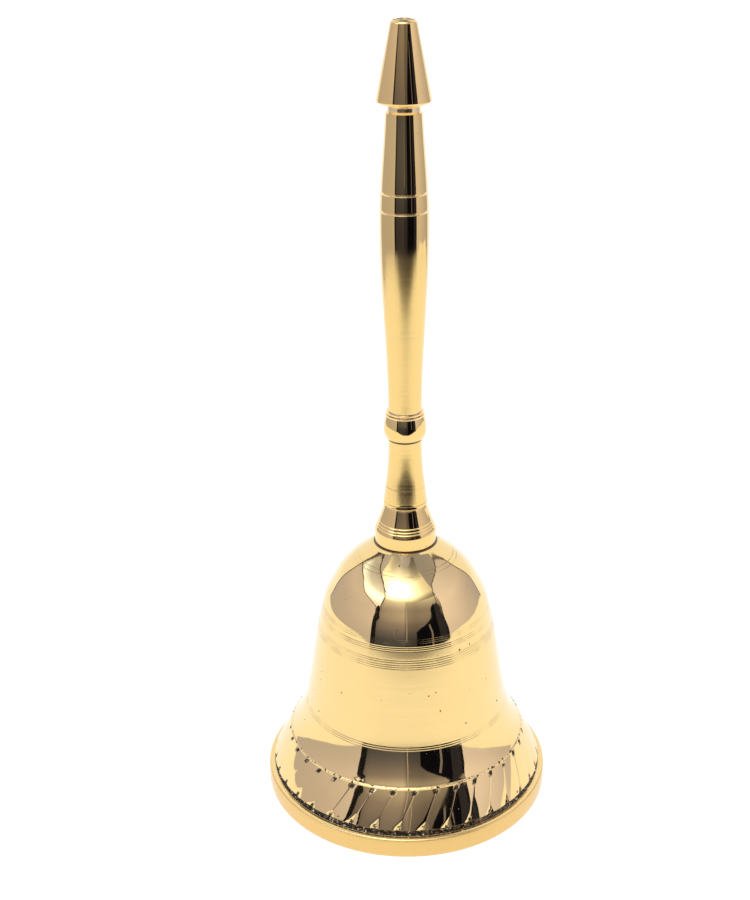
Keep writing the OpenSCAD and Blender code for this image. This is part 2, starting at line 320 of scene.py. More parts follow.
@dataclass(frozen=True)
class Grain:
    """A noise with its scale, its detail and its fixed seed."""

    scale: float | Wire
    detail: float
    seed: float | Wire

    def draw(self, wires: Wiring, where: Wire) -> Wire:
        """Returns the noise at a place, which lies round a half."""
        inputs = {"Vector": where, "W": self.seed, "Scale": self.scale, "Detail": self.detail}
        return wires.out("ShaderNodeTexNoise", inputs, noise_dimensions="4D")


@dataclass
class Spot:
    """A vertex of a turning before it is placed, as wires of its tree."""

    row: Wire
    turn: Wire
    radius: Wire
    height: Wire
    marks: dict[str, Wire] = field(default_factory=dict)

    def place(self, wires: Wiring) -> Wire:
        """Works out the position of the vertex.

        Args:
            wires: The tree's wiring.

        Returns:
            The position.
        """
        across = self.radius * wires.math("COSINE", self.turn)
        along = self.radius * wires.math("SINE", self.turn)
        return wires.out("ShaderNodeCombineXYZ", {0: across, 1: along, 2: self.height})


@dataclass
class Turning:
    """Geometry nodes that turn an outline round the Z axis into a closed, smooth shell.

    Each field is an input of the tree, named after it.
    """

    tree_name: ClassVar[str] = "turned_piece"
    kinds: ClassVar[dict[type, str]] = {int: "NodeSocketInt", float: "NodeSocketFloat",
                                        bpy.types.Material: "NodeSocketMaterial"}

    material: bpy.types.Material
    columns: int

    def labels(self) -> dict[str, str]:
        """Returns the names of the inputs by field."""
        return {item.name: item.name.replace("_", " ").title() for item in fields(self)}

    def make(self) -> bpy.types.NodeTree:
        """Builds the tree.

        Returns:
            A geometry node tree that takes an outline as a chain of vertices in the XZ plane.
        """
        tree = bpy.data.node_groups.new(self.tree_name, "GeometryNodeTree")
        for way in ("INPUT", "OUTPUT"):
            tree.interface.new_socket("Geometry", in_out=way, socket_type="NodeSocketGeometry")
        labels = self.labels()
        for item in fields(self):
            tree.interface.new_socket(labels[item.name], in_out="INPUT", socket_type=self.kinds[item.type])
        wires = Wiring(tree)
        inputs = wires.outs("NodeGroupInput")
        given = SimpleNamespace(**{name: inputs[label] for name, label in labels.items()})
        rows = wires.out("GeometryNodeAttributeDomainSize", {0: inputs["Geometry"]})
        shell = wires.out("GeometryNodeMeshGrid", {"Vertices X": given.columns + 1, "Vertices Y": rows})
        index = wires.out("GeometryNodeInputIndex")
        column = wires.math("FLOOR", (index + 0.5) / rows)
        row = index - column * rows
        position = wires.out("GeometryNodeInputPosition")
        asked = {"Geometry": inputs["Geometry"], "Value": position, "Index": row}
        sample = wires.out("GeometryNodeSampleIndex", asked, data_type="FLOAT_VECTOR", domain="POINT")
        point = wires.outs("ShaderNodeSeparateXYZ", {0: sample})
        spot = Spot(row, column * math.tau / given.columns, point["X"], point["Z"])
        self.shape(wires, given, spot)
        shell = wires.out("GeometryNodeSetPosition", {"Geometry": shell, "Position": spot.place(wires)})
        for label, value in spot.marks.items():
            mark = {"Geometry": shell, "Name": label, "Value": value}
            shell = wires.out("GeometryNodeStoreNamedAttribute", mark, data_type="FLOAT", domain="POINT")
        shell = wires.out("GeometryNodeMergeByDistance", {"Geometry": shell, "Distance": WELD})
        shell = wires.out("GeometryNodeSetShadeSmooth", {"Geometry": shell})
        shell = wires.out("GeometryNodeRealizeInstances", {0: shell})
        shell = wires.out("GeometryNodeSetMaterial", {"Geometry": shell, "Material": given.material})
        wires.node("NodeGroupOutput", {0: shell})
        return tree

    def shape(self, wires: Wiring, given: SimpleNamespace, spot: Spot) -> None:
        """Moves the vertex or marks it; a plain turning leaves it where it is."""


@dataclass
class GadroonTurning(Turning):
    """A turning with a border of leaning gadroons and rough, as-cast stretches.

    Lean and tilt are in radians. The scoops are the hollows between the gadroons, and the pits lie
    at the tops of their lines.
    """

    tree_name: ClassVar[str] = "gadrooned_cup"
    grit_detail: ClassVar[float] = 3.0
    seeds_each: ClassVar[float] = 10.0

    gadroons: int
    outer_rows: int
    tilt: float
    border_low: float
    border_high: float
    foot_radius: float
    top_radius: float
    cast_low: float
    cast_high: float
    cast_depth: float = 0.45 * MM
    cast_over: float = 0.25 * MM
    cast_level: float = 0.56
    crumb_share: float = 0.45
    grit_scale: float = 800.0
    lean: float = math.radians(25)
    crest_round: float = 0.10 * MM
    line_depth: float = 0.025 * MM
    line_width: float = 0.13 * MM
    scoop_depth: float = 0.55 * MM
    scoop_width: float = 1.4 * MM
    scoop_reach: float = 0.38
    scoop_fade: float = 1.4
    pit_depth: float = 0.22 * MM
    pit_width: float = 0.7 * MM
    pit_start: float = 0.86
    pit_full: float = 0.97
    least_chance: float = 0.65
    chance_span: float = 0.7
    seed: float = 3.0

    def shape(self, wires: Wiring, given: SimpleNamespace, spot: Spot) -> None:
        """Leans the columns, cuts the hollows and roughens the as-cast stretches.

        Args:
            wires: The tree's wiring.
            given: The tree's inputs.
            spot: The vertex, which is changed.
        """
        low, high = given.border_low, given.border_high
        share = wires.math("FRACT", spot.turn * given.gadroons / math.tau)
        side = share * 2.0 - 1.0
        crowded = side * (side * side * -0.5 + 1.5)
        step = math.pi / given.gadroons
        girth = spot.radius.at_most(given.foot_radius).at_least(given.top_radius)
        level = spot.height.at_least(low).at_most(high)
        slope = wires.math("TANGENT", given.lean) / wires.math("COSINE", given.tilt)
        shift = (level - (low + high) / 2) * slope
        spot.turn = (crowded - side) * step + spot.turn + shift / girth

        away = wires.math("ABSOLUTE", crowded)
        gap = (1.0 - away) * (girth * step * wires.math("COSINE", given.lean))
        rise = ((spot.height - low) / (high - low)).clamped()
        crest = away * away * (given.crest_round * (1.0 - rise))
        line = self.notch(gap, given.line_width, given.line_depth)
        chance = self.chances(wires, given, spot)
        reach = (1.0 - rise / (given.scoop_reach * chance[0])).clamped()
        deep = given.scoop_depth * reach ** given.scoop_fade
        scoop = self.notch(gap, given.scoop_width * chance[1] * reach, deep)
        height = wires.ease(rise, given.pit_start, given.pit_full)
        pit = self.notch(gap, given.pit_width, given.pit_depth * chance[2] * height)
        hollow = (crest + line).at_least(scoop).at_least(pit)

        outer = spot.row < given.outer_rows
        border = (spot.height > low) * (spot.height < high) * outer
        cut = hollow * border
        grit = Grain(given.grit_scale, self.grit_detail, given.seed).draw(wires, spot.place(wires))
        cast = (spot.height > given.cast_low) * (spot.height < low + given.cast_over)
        crumbs = (spot.height > high) * (spot.height < given.cast_high)
        amount = outer * (crumbs * given.crumb_share + cast)
        rough = (grit - given.cast_level) * amount * given.cast_depth
        spot.radius = spot.radius - (cut * wires.math("COSINE", given.tilt) - rough)
        spot.height = spot.height - cut * wires.math("SINE", given.tilt)
        spot.marks["outer"] = outer
        spot.marks["hollow"] = border * (1.0 - gap / given.pit_width).clamped()

    def chances(self, wires: Wiring, given: SimpleNamespace, spot: Spot) -> list[Wire]:
        """Draws the factors round 1 by which the hollows differ.

        Args:
            wires: The tree's wiring.
            given: The tree's inputs.
            spot: The vertex.

        Returns:
            Three factors for the hollow that is nearest to the vertex.
        """
        nearest = wires.math("FLOOR", spot.turn * given.gadroons * (1 / math.tau) + 0.5)
        lot = wires.math("MODULO", nearest, given.gadroons)
        factors = []
        for draw in range(3):
            asked = {"ID": lot, "Seed": given.seed * self.seeds_each + draw}
            drawn = wires.out("FunctionNodeRandomValue", asked, "Value", data_type="FLOAT")
            factors.append(drawn * given.chance_span + given.least_chance)
        return factors

    def notch(self, gap: Wire, width: Wire, depth: Wire) -> Wire:
        """Returns the depth of a V-shaped notch at a distance from its line."""
        return depth * (1.0 - gap / width).clamped()


@dataclass(frozen=True)
class Band:
    """A stretch of height, with the softness of its two ends, which lie inside it."""

    low: float
    high: float
    edge: float

    def mask(self, wires: Wiring, height: Wire) -> Wire:
        """Returns a mask that is 1 on the stretch."""
        rise = wires.ease(height, self.low, self.low + self.edge)
        return rise * wires.ease(height, self.high - self.edge, self.high, 1.0, 0.0)


@dataclass(frozen=True)
class Tint:
    """A colour and a roughness laid on a metal, by age and use or as painted light or shade."""

    colour: Colour | Wire
    rough: float


# painted highlight: a light cream laid on the fillets, the neck and turned lines so that they read lighter
# than the brass reflects
PALE_HIGHLIGHT = Tint((1.0, 0.77, 0.40), 0.2)
PIT = Tint((0.08, 0.05, 0.028), 0.6)
# painted shade: dark brown laid along the tool lines, where the crease shade falls
LINE_SHADE = Tint((0.30, 0.18, 0.08), 0.4)
# painted shadow: near-black laid in the gaps between parts, where shade falls
GAP_SHADOW = Tint((0.05, 0.03, 0.018), 0.5)
# painted shade: the bead's darker yellow stands for the shadowed paper that it mirrors; its roughness is its
# satin finish
BEAD_SHADE = Tint((0.90, 0.60, 0.205), 0.42)
# painted highlight: cream-white glints on the flecks in the groove
GROOVE_GLINT = Tint((0.95, 0.86, 0.66), 0.25)
RIDGE_DIRT = Tint((0.03, 0.02, 0.012), 0.5)
BORDER_PIT = Tint((0.035, 0.022, 0.014), 0.6)
DULL_INSIDE = Tint((0.42, 0.27, 0.12), 0.42)
GROOVE_ROUGHNESS = 0.45
GROOVE_BROWN = (0.20, 0.135, 0.07)
GROOVE_BLACK = (0.03, 0.024, 0.018)
CLOUD_TAN = (0.80, 0.55, 0.23)
MARK_BROWN = (0.55, 0.34, 0.13)


@dataclass
class Look:
    """The colour, roughness and relief of a metal while its stains and its painted light and shade are laid
    on it.
    """

    wires: Wiring
    colour: Colour | Wire
    rough: Wire
    relief: Wire

    def stain(self, mask: Wire, colour: Colour | Wire) -> None:
        """Blends another colour in where a mask is 1."""
        self.colour = self.wires.blend(mask, self.colour, colour)

    def lay(self, mask: Wire, tint: Tint) -> None:
        """Lays a tint on where a mask is 1."""
        self.stain(mask, tint.colour)
        self.rough = self.wires.mix(mask, self.rough, tint.rough)

    def raise_by(self, mask: Wire, height: float) -> None:
        """Raises the relief by a height where a mask is 1."""
        self.relief = mask * height + self.relief

    def end(self, extras: dict[str, object]) -> None:
        """Ends the material in a metal with this look.

        Args:
            extras: More inputs of the shader, by name.
        """
        bump = self.wires.out("ShaderNodeBump", {"Height": self.relief, "Distance": 1.0, "Strength": 1.0})
        inputs = {"Base Color": self.colour, "Metallic": 1.0, "Roughness": self.rough, "Normal": bump}
        metal = self.wires.out("ShaderNodeBsdfPrincipled", inputs | extras)
        self.wires.node("ShaderNodeOutputMaterial", {0: metal})


def blank_material(name: str) -> tuple[bpy.types.Material, Wiring]:
    """Makes a material with an empty node tree.

    Args:
        name: Name of the material.

    Returns:
        The material and its wiring.
    """
    made = bpy.data.materials.new(name)
    made.use_nodes = True
    made.node_tree.nodes.clear()
    return made, Wiring(made.node_tree)


@dataclass(frozen=True)
class BorderLook:
    """The rough stretches and painted light of the gadroon border: a bead darkened by painted shade, a black
    groove with painted glints, a crumbly ridge and pits below it.

    The spans are the values of a noise or a mark over which a stain or a painted glint comes in.
    """

    bead: Band
    groove: Band
    groove_r: float
    ridge: Band
    pits: Band
    feet: Band
    grit: Grain = Grain(1500.0, 3.0, 6.2)
    crumbs: Grain = Grain(1100.0, 4.0, 8.8)
    groove_edge: float = 0.15 * MM
    groove_relief: float = 0.14 * MM
    ridge_relief: float = 0.10 * MM
    cleaner_side: float = 24 * MM
    cleaner_share: float = 0.10
    dirt: Span = (0.34, 0.46)
    # noise span of the painted glints
    bright: Span = (0.58, 0.64)
    foot_hollow: Span = (0.25, 0.6)
    foot_crumbs: Span = (0.40, 0.50)
    ridge_crumbs: Span = (0.55, 0.60)
    pit_hollow: Span = (0.15, 0.35)
    pit_crumbs: Span = (0.34, 0.44)
    inside_share: float = 0.6

    def wear(self, wires: Wiring, where: Wire, height: Wire, look: Look) -> None:
        """Adds the rough stretches, the bead's painted shade and the groove's painted glints to a brass.

        Args:
            wires: The material's wiring.
            where: Object coordinates.
            height: Height on the piece.
            look: The brass, which is changed.
        """
        outer = wires.out("ShaderNodeAttribute", output="Fac", attribute_name="outer")
        hollow = wires.out("ShaderNodeAttribute", output="Fac", attribute_name="hollow")
        grit = self.grit.draw(wires, where)
        crumbs = self.crumbs.draw(wires, where)
        axes = wires.outs("ShaderNodeSeparateXYZ", {0: where})
        radius = wires.math("SQRT", axes["X"] * axes["X"] + axes["Y"] * axes["Y"])
        cleaner = wires.ease(axes["X"], -self.cleaner_side, self.cleaner_side, 0.0, self.cleaner_share)

        # painted shade on the bead
        look.lay(outer * self.bead.mask(wires, height), BEAD_SHADE)
        deep = wires.ease(radius, self.groove_r, self.groove_r + self.groove_edge, 1.0, 0.0)
        feet = self.feet.mask(wires, height) * wires.ease(hollow, *self.foot_hollow)
        groove = outer * self.groove.mask(wires, height) * deep
        groove = groove.at_least(feet * wires.ease(crumbs, *self.foot_crumbs))
        dirty = wires.ease(crumbs - cleaner, *self.dirt)
        look.lay(groove, Tint(wires.blend(dirty, GROOVE_BROWN, GROOVE_BLACK), GROOVE_ROUGHNESS))
        # painted glints in the groove
        look.lay(groove * wires.ease(grit, *self.bright), GROOVE_GLINT)
        look.raise_by(groove * grit, self.groove_relief)
        ridge = outer * self.ridge.mask(wires, height)
        look.lay(ridge * wires.ease(crumbs, *self.ridge_crumbs), RIDGE_DIRT)
        look.raise_by(ridge * crumbs, self.ridge_relief)
        pits = self.pits.mask(wires, height) * wires.ease(hollow, *self.pit_hollow)
        look.lay(pits * wires.ease(crumbs, *self.pit_crumbs), BORDER_PIT)
        look.lay((1.0 - outer) * self.inside_share, DULL_INSIDE)


@dataclass(frozen=True)
class BrassFinish:
    """Brass with polished and fine-turned stretches, tool marks and pits, with painted shadow in its gaps,
    painted shade along its tool lines and painted highlights on some stretches.

    The shares of the marks are for turned and polished metal, those of the line shade for the lightest and
    the darkest painted-shade lines.
    """

    name: str
    colour: Colour
    polished: tuple[Band, ...]
    # bands of painted shadow in the gaps between parts
    joints: tuple[Band, ...] = ()
    lines: tuple[float, ...] = ()
    line_width: float = 0.22 * MM
    # bands of painted highlight
    pale: tuple[Band, ...] = ()
    border: BorderLook | None = None
    polished_roughness: float = 0.04
    turned_roughness: float = 0.18
    mark_depth: float = 0.0010 * MM
    mark_stretch: tuple[float, float, float] = (14.0, 14.0, 2300.0)
    marks: Grain = Grain(1.0, 3.0, 1.3)
    mark_stain: Span = (0.60, 0.76)
    mark_shares: Span = (0.08, 0.02)
    roughness_sway: float = 0.10
    clouds: Grain = Grain(90.0, 4.0, 4.7)
    cloud_stain: Span = (0.45, 0.8)
    cloud_share: float = 0.15
    cloud_sheen: Span = (0.5, 0.75)
    cloud_roughness: float = 0.04
    swell: Grain = Grain(160.0, 2.0, 9.1)
    swell_height: float = 0.010 * MM
    # noise that varies the painted shade along the tool lines
    wear: Grain = Grain(210.0, 2.0, 5.6)
    line_shade_span: Span = (0.40, 0.60)
    line_shade_shares: Span = (0.15, 0.85)
    sway: Grain = Grain(55.0, 3.0, 2.9)
    waviness: float = 0.5 * MM
    hatching: float = 0.3 * MM
    pit_spacing: float = 420.0
    pit_jitter: float = 0.5 * MM
    pit_jitter_scale: float = 1500.0
    pit_size: float = 0.09
    pit_share: float = 0.22
    pit_depth: float = 0.02 * MM
    pit_strength: float = 0.88
    # strength of the painted gap shadow
    gap_shadow_strength: float = 0.9
    brushing: float = 0.6
    brushing_turn: float = 0.25
    lacquer: float = 0.5
    lacquer_roughness: float = 0.12

    def material(self) -> bpy.types.Material:
        """Builds the material.

        Returns:
            A procedural metal on object coordinates.
        """
        made, wires = blank_material(self.name)
        where = wires.out("ShaderNodeTexCoord", output="Object")
        height = wires.outs("ShaderNodeSeparateXYZ", {0: where})["Z"]
        rings = wires.out("ShaderNodeMapping", {"Vector": where, "Scale": self.mark_stretch})
        marks = self.marks.draw(wires, rings)
        polish = self.polish_mask(wires, where, height, marks)
        clouds = self.clouds.draw(wires, where)
        turned = (marks - NOISE_MIDDLE) * self.roughness_sway + self.turned_roughness
        sheen = wires.ease(clouds, *self.cloud_sheen) * self.cloud_roughness + self.polished_roughness
        relief = marks * wires.mix(polish, self.mark_depth, self.mark_depth / 8)
        look = Look(wires, self.colour, wires.mix(polish, turned, sheen), relief)
        look.raise_by(self.swell.draw(wires, where), self.swell_height)
        look.stain(wires.ease(clouds, *self.cloud_stain) * self.cloud_share, CLOUD_TAN)
        look.stain(wires.ease(marks, *self.mark_stain) * wires.mix(polish, *self.mark_shares), MARK_BROWN)
        pits = self.pit_mask(wires, where)
        look.lay(pits * self.pit_strength, PIT)
        look.raise_by(pits, -self.pit_depth)
        # painted highlight on these stretches
        for stretch in self.pale:
            look.lay(stretch.mask(wires, height), PALE_HIGHLIGHT)
        # a noise sets how dark the painted shade is along each stretch of line
        line_shade = wires.ease(self.wear.draw(wires, where), *self.line_shade_span, *self.line_shade_shares)
        half = self.line_width / 2
        for line in self.lines:
            look.lay(line_shade * Band(line - half, line + half, half).mask(wires, height), LINE_SHADE)
        # painted shadow in the gaps between parts
        for gap_shadow in self.joints:
            look.lay(gap_shadow.mask(wires, height) * self.gap_shadow_strength, GAP_SHADOW)
        if self.border:
            self.border.wear(wires, where, height, look)
        tangent = wires.out("ShaderNodeTangent", direction_type="RADIAL", axis="Z")
        look.end({"Anisotropic": self.brushing, "Anisotropic Rotation": self.brushing_turn,
                  "Tangent": tangent, "Coat Weight": self.lacquer,
                  "Coat Roughness": self.lacquer_roughness})
        return made

    def polish_mask(self, wires: Wiring, where: Wire, height: Wire, marks: Wire) -> Wire:
        """Marks the polished stretches.

        Args:
            wires: The material's wiring.
            where: Object coordinates.
            height: Height on the piece.
            marks: The tool marks, which run into the ends of the polished stretches.

        Returns:
            A mask that is 1 where the metal is polished.
        """
        level = (self.sway.draw(wires, where) - NOISE_MIDDLE) * self.waviness + height
        level = (marks - NOISE_MIDDLE) * self.hatching + level
        polish = self.polished[0].mask(wires, level)
        for band in self.polished[1:]:
            polish = polish.at_least(band.mask(wires, level))
        return polish

    def pit_mask(self, wires: Wiring, where: Wire) -> Wire:
        """Scatters small casting pits.

        Args:
            wires: The material's wiring.
            where: Object coordinates.

        Returns:
            A mask that is 1 in a pit.
        """
        jitter = wires.out("ShaderNodeTexNoise", {"Vector": where, "Scale": self.pit_jitter_scale}, 1)
        reach = (self.pit_jitter, self.pit_jitter, self.pit_jitter)
        moved = wires.out("ShaderNodeVectorMath", {0: jitter, 1: reach}, operation="MULTIPLY")
        spot = wires.out("ShaderNodeVectorMath", {0: where, 1: moved}, operation="ADD")
        cells = wires.outs("ShaderNodeTexVoronoi", {"Vector": spot, "Scale": self.pit_spacing})
        lot = wires.outs("ShaderNodeSeparateColor", {0: cells["Color"]})
        size = lot["Green"] * lot["Green"] * self.pit_size
        return (cells["Distance"] < size) * (lot["Red"] < self.pit_share)


@dataclass(frozen=True)
class SteelFinish:
    """Zinc-plated steel wire and fixings, a little dull and spotted."""

    name: str
    colour: Colour = (0.62, 0.62, 0.61)
    spot_colour: Colour = (0.34, 0.31, 0.27)
    roughness: float = 0.26
    roughness_sway: float = 0.10
    spots: Grain = Grain(380.0, 4.0, 3.3)
    spot_span: Span = (0.60, 0.72)
    spot_roughness: float = 0.25
    grain: Grain = Grain(5200.0, 2.0, 7.7)
    grain_height: float = 0.004 * MM

    def material(self) -> bpy.types.Material:
        """Builds the material.

        Returns:
            A procedural metal on object coordinates.
        """
        made, wires = blank_material(self.name)
        where = wires.out("ShaderNodeTexCoord", output="Object")
        grain = self.grain.draw(wires, where)
        spots = wires.ease(self.spots.draw(wires, where), *self.spot_span)
        rough = spots * self.spot_roughness + self.roughness
        rough = (grain - NOISE_MIDDLE) * self.roughness_sway + rough
        shade = wires.blend(spots, self.colour, self.spot_colour)
        Look(wires, shade, rough, grain * self.grain_height).end({})
        return made


class Body(Enum):
    """The bodies that turned pieces ride on."""

    BELL = "bell"
    CLAPPER = "clapper"


def turn_piece(name: str, outline: list[Vector], turning: Turning) -> bpy.types.Object:
    """Turns an outline into a finished mesh object.

    Args:
        name: Name of the piece.
        outline: Its half section as radius and height.
        turning: The turning, with the values of its inputs.

    Returns:
        The piece, with no modifier left on it.
    """
    chain = bpy.data.meshes.new(name + "_outline")
    edges = [(i, i + 1) for i in range(len(outline) - 1)]
    chain.from_pydata([(p.x, 0.0, p.y) for p in outline], edges, [])
    blank = bpy.data.objects.new(name + "_outline", chain)
    bpy.context.scene.collection.objects.link(blank)
    modifier = blank.modifiers.new("turning", "NODES")
    modifier.node_group = turning.make()
    sockets = {s.name: s.identifier for s in modifier.node_group.interface.items_tree if s.in_out == "INPUT"}
    for item, label in turning.labels().items():
        modifier[sockets[label]] = getattr(turning, item)
    depsgraph = bpy.context.evaluated_depsgraph_get()
    mesh = bpy.data.meshes.new_from_object(blank.evaluated_get(depsgraph), depsgraph=depsgraph)
    mesh.name = name
    bpy.data.objects.remove(blank)
    shell = bmesh.new()
    shell.from_mesh(mesh)
    bmesh.ops.dissolve_degenerate(shell, dist=SLIVER, edges=shell.edges)
    if shell.calc_volume(signed=True) < 0:
        bmesh.ops.reverse_faces(shell, faces=shell.faces)
    shell.to_mesh(mesh)
    shell.free()
    mesh.set_sharp_from_angle(angle=math.radians(SHARP_ANGLE))
    piece = bpy.data.objects.new(name, mesh)
    bpy.context.scene.collection.objects.link(piece)
    return piece


def seat_piece(piece: bpy.types.Object, node: str, body: Body) -> None:
    """Puts a piece in the place of a CAD node.

    Args:
        piece: The piece.
        node: The node that it stands for.
        body: The body that it rides on.
    """
    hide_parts(node)
    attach(piece, body.value)
    faces = len(piece.data.polygons)
    LOG.info("%s: %d faces, rides on %s", piece.name, faces, body.value)


@dataclass
class BellCup:
    """The cup of the bell, from the bead of its lip to the flat under the handle.

    The lines are heights in millimetres, each with painted shade along it: the faint ones only get the
    painted shade, and the others are cut too. The rows of the ridge are in millimetres over its foot.
    """

    colour: Colour = (0.95, 0.69, 0.29)
    mouth_r: float = 35.0 * MM
    lip_h: float = 5.2 * MM
    lip_wall: float = 3.6 * MM
    bead_round: float = 0.9 * MM
    inner_lip: float = 0.4 * MM
    groove_h: float = 1.1 * MM
    groove_depth: float = 1.9 * MM
    groove_lip: float = 0.1 * MM
    groove_round: float = 0.3 * MM
    groove_steps: int = 5
    edge: float = 0.12 * MM
    wall: float = 2.2 * MM
    band_h: float = 8.4 * MM
    band_setback: float = 1.3 * MM
    band_top_r: float = 28.9 * MM
    band_rows: int = 22
    band_bulge: float = 0.12 * MM
    gadroons: int = 36
    columns_each: int = 16
    foot_round: float = 0.4 * MM
    foot_setback: float = 0.18 * MM
    ridge_h: float = 0.7 * MM
    ridge_out: float = 0.3 * MM
    ridge_rows: tuple[float, ...] = (0.22, 0.30, 0.38, 0.46)
    flare_h: float = 7.1 * MM
    hip_r: float = 25.3 * MM
    hip_crease: float = 0.55 * MM
    skirt_h: float = 27.9 * MM
    shoulder_r: float = 20.1 * MM
    shoulder_h: float = 6.5 * MM
    crown_r: float = 17.1 * MM
    crown_h: float = 9.5 * MM
    crown_wall: float = 3.8 * MM
    crown_flat_r: float = 7.0 * MM
    seat_r: float = 7.4 * MM
    rod_hole_r: float = 2.15 * MM
    flare_polish_z: float = 24.5 * MM
    crown_polish_z: float = 47.3 * MM
    shoulder_lines: tuple[float, ...] = (43.4, 43.9, 44.4, 45.0, 45.5, 47.6, 48.05, 48.5)
    faint_lines: tuple[float, ...] = (49.4, 49.85, 50.3, 62.6, 63.3)
    hip_lines: tuple[float, ...] = (23.0, 23.5, 24.0)

    def __post_init__(self) -> None:
        """Stacks the heights of the cup."""
        self.band_z = self.lip_h + self.groove_h
        self.ridge_z = self.band_z + self.band_h
        self.flare_z = self.ridge_z + self.ridge_h
        self.hip_z = self.flare_z + self.flare_h
        self.shoulder_z = self.hip_z + self.skirt_h
        self.crown_z = self.shoulder_z + self.shoulder_h
        self.seat_z = self.crown_z + self.crown_h
        self.groove_r = self.mouth_r - self.groove_depth
        self.band_low_r = self.mouth_r - self.band_setback
        self.tilt = math.atan2(self.band_low_r - self.band_top_r, self.band_h)
        self.hip = Station(self.hip_r, self.hip_z, 105)
        self.shoulder = Station(self.shoulder_r, self.shoulder_z, 104)
        self.crown = Station(self.crown_r, self.crown_z, 118)

    def border(self, shape: Outline) -> None:
        """Draws the bead, the groove, the gadroon band and the ridge over it.

        Args:
            shape: The outline, which is added to.
        """
        edge, ridge_z = self.edge, self.ridge_z
        shape.corner(self.mouth_r - self.lip_wall + self.inner_lip, 0.0)
        shape.corner(self.mouth_r, 0.0, self.bead_round)
        shape.corner(self.mouth_r, self.lip_h, self.bead_round)
        shape.corner(self.groove_r + self.groove_lip, self.lip_h, self.groove_round)
        for i in range(1, self.groove_steps):
            shape.corner(self.groove_r, self.lip_h + self.groove_h * i / self.groove_steps)
        shape.corner(self.groove_r, self.band_z - edge, edge)
        low = Vector((self.band_low_r - self.foot_round, self.band_z + edge))
        turn = Vector((self.band_low_r - self.foot_setback, self.band_z + self.foot_round))
        high = Vector((self.band_top_r, ridge_z - 0.05 * MM))
        shape.corner(*low)
        shape.corner(*low.lerp(turn, 0.5))
        bulge = self.band_bulge * Vector((math.cos(self.tilt), math.sin(self.tilt)))
        for i in range(self.band_rows + 1):
            share = i / self.band_rows
            shape.corner(*(turn.lerp(high, share) + 4 * share * (1 - share) * bulge))
        crest = self.band_top_r + self.ridge_out
        shape.corner(crest - edge / 2, ridge_z + edge)
        for rise in self.ridge_rows:
            shape.corner(crest, ridge_z + rise * MM)
        shape.corner(self.band_top_r + 0.06 * MM, self.flare_z - 0.1 * MM)

    def outline(self) -> tuple[list[Vector], int]:
        """Draws the half section, up the outside and down the inside.

        Returns:
            The points, and how many of them lie on the outside.
        """
        shape = Outline()
        self.border(shape)
        edge_r = self.hip_r - self.hip_crease
        crease_z = self.hip_z + 1.8 * MM
        flare = [Station(self.band_top_r, self.flare_z, 126),
                 Station(self.hip_r + 0.8 * MM, self.flare_z + 5 * MM, 113),
                 Station(edge_r, crease_z, 107)]
        skirt = [Station(edge_r, crease_z, 101), self.shoulder, self.crown,
                 Station(self.seat_r, self.seat_z, 143)]
        shape.follow(smooth_curve(flare, 8))
        shape.follow(smooth_curve(skirt, 12)[1:])
        points = shape.rounded(4, [ToolLine(z * MM) for z in self.shoulder_lines + self.hip_lines])
        inner = Outline()
        inner_top_z = self.seat_z - self.crown_wall
        inner.corner(self.rod_hole_r, self.seat_z)
        inner.corner(self.rod_hole_r, inner_top_z)
        wall = [Station(self.mouth_r - self.lip_wall, self.inner_lip, 114),
                *(station.inside(self.wall) for station in (self.hip, self.shoulder, self.crown)),
                Station(self.crown_flat_r, inner_top_z, 137)]
        inner.follow(smooth_curve(wall, 3)[::-1])
        inner.corner(*points[0])
        return points + inner.points, len(points)

    def build(self) -> bpy.types.Object:
        """Turns the cup and cuts its gadroons.

        Returns:
            The cup.
        """
        points, outer_rows = self.outline()
        turning = GadroonTurning(self.finish().material(), self.gadroons * self.columns_each,
                                 self.gadroons, outer_rows, self.tilt, self.band_z, self.ridge_z,
                                 self.band_low_r, self.band_top_r,
                                 cast_low=self.lip_h + 0.02 * MM, cast_high=self.flare_z - 0.12 * MM)
        return turn_piece("turned_cup", points, turning)

    def finish(self) -> BrassFinish:
        """Makes the brass of the cup.

        Returns:
            A finish that is polished on the flare and the crown.
        """
        polished = (Band(self.band_z + 0.3 * MM, self.flare_polish_z, 0.3 * MM),
                    Band(self.crown_polish_z, self.seat_z + 9 * MM, 0.6 * MM))
        # painted shadow on the crown round the seat of the handle's foot
        gap_shadow = Band(self.seat_z - 0.25 * MM, self.seat_z + 1 * MM, 0.15 * MM)
        lip_top = self.lip_h - 0.1 * MM
        border = BorderLook(bead=Band(-1 * MM, lip_top, 0.2 * MM),
                            groove=Band(lip_top, self.band_z + 0.25 * MM, 0.12 * MM),
                            groove_r=self.groove_r + 0.45 * MM,
                            ridge=Band(self.ridge_z - 0.1 * MM, self.flare_z + 0.1 * MM, 0.1 * MM),
                            pits=Band(self.ridge_z - 1.4 * MM, self.ridge_z, 0.5 * MM),
                            feet=Band(self.band_z, self.band_z + 1.3 * MM, 0.4 * MM))
        heights = self.shoulder_lines + self.hip_lines + self.faint_lines
        return BrassFinish("cup_brass", self.colour, polished, (gap_shadow,), tuple(z * MM for z in heights),
                           border=border, pit_size=0.12, pit_share=0.7)

    def dress(self, piece: bpy.types.Object) -> None:
        """Seats the cup on its node."""
        seat_piece(piece, "bell_cup", Body.BELL)


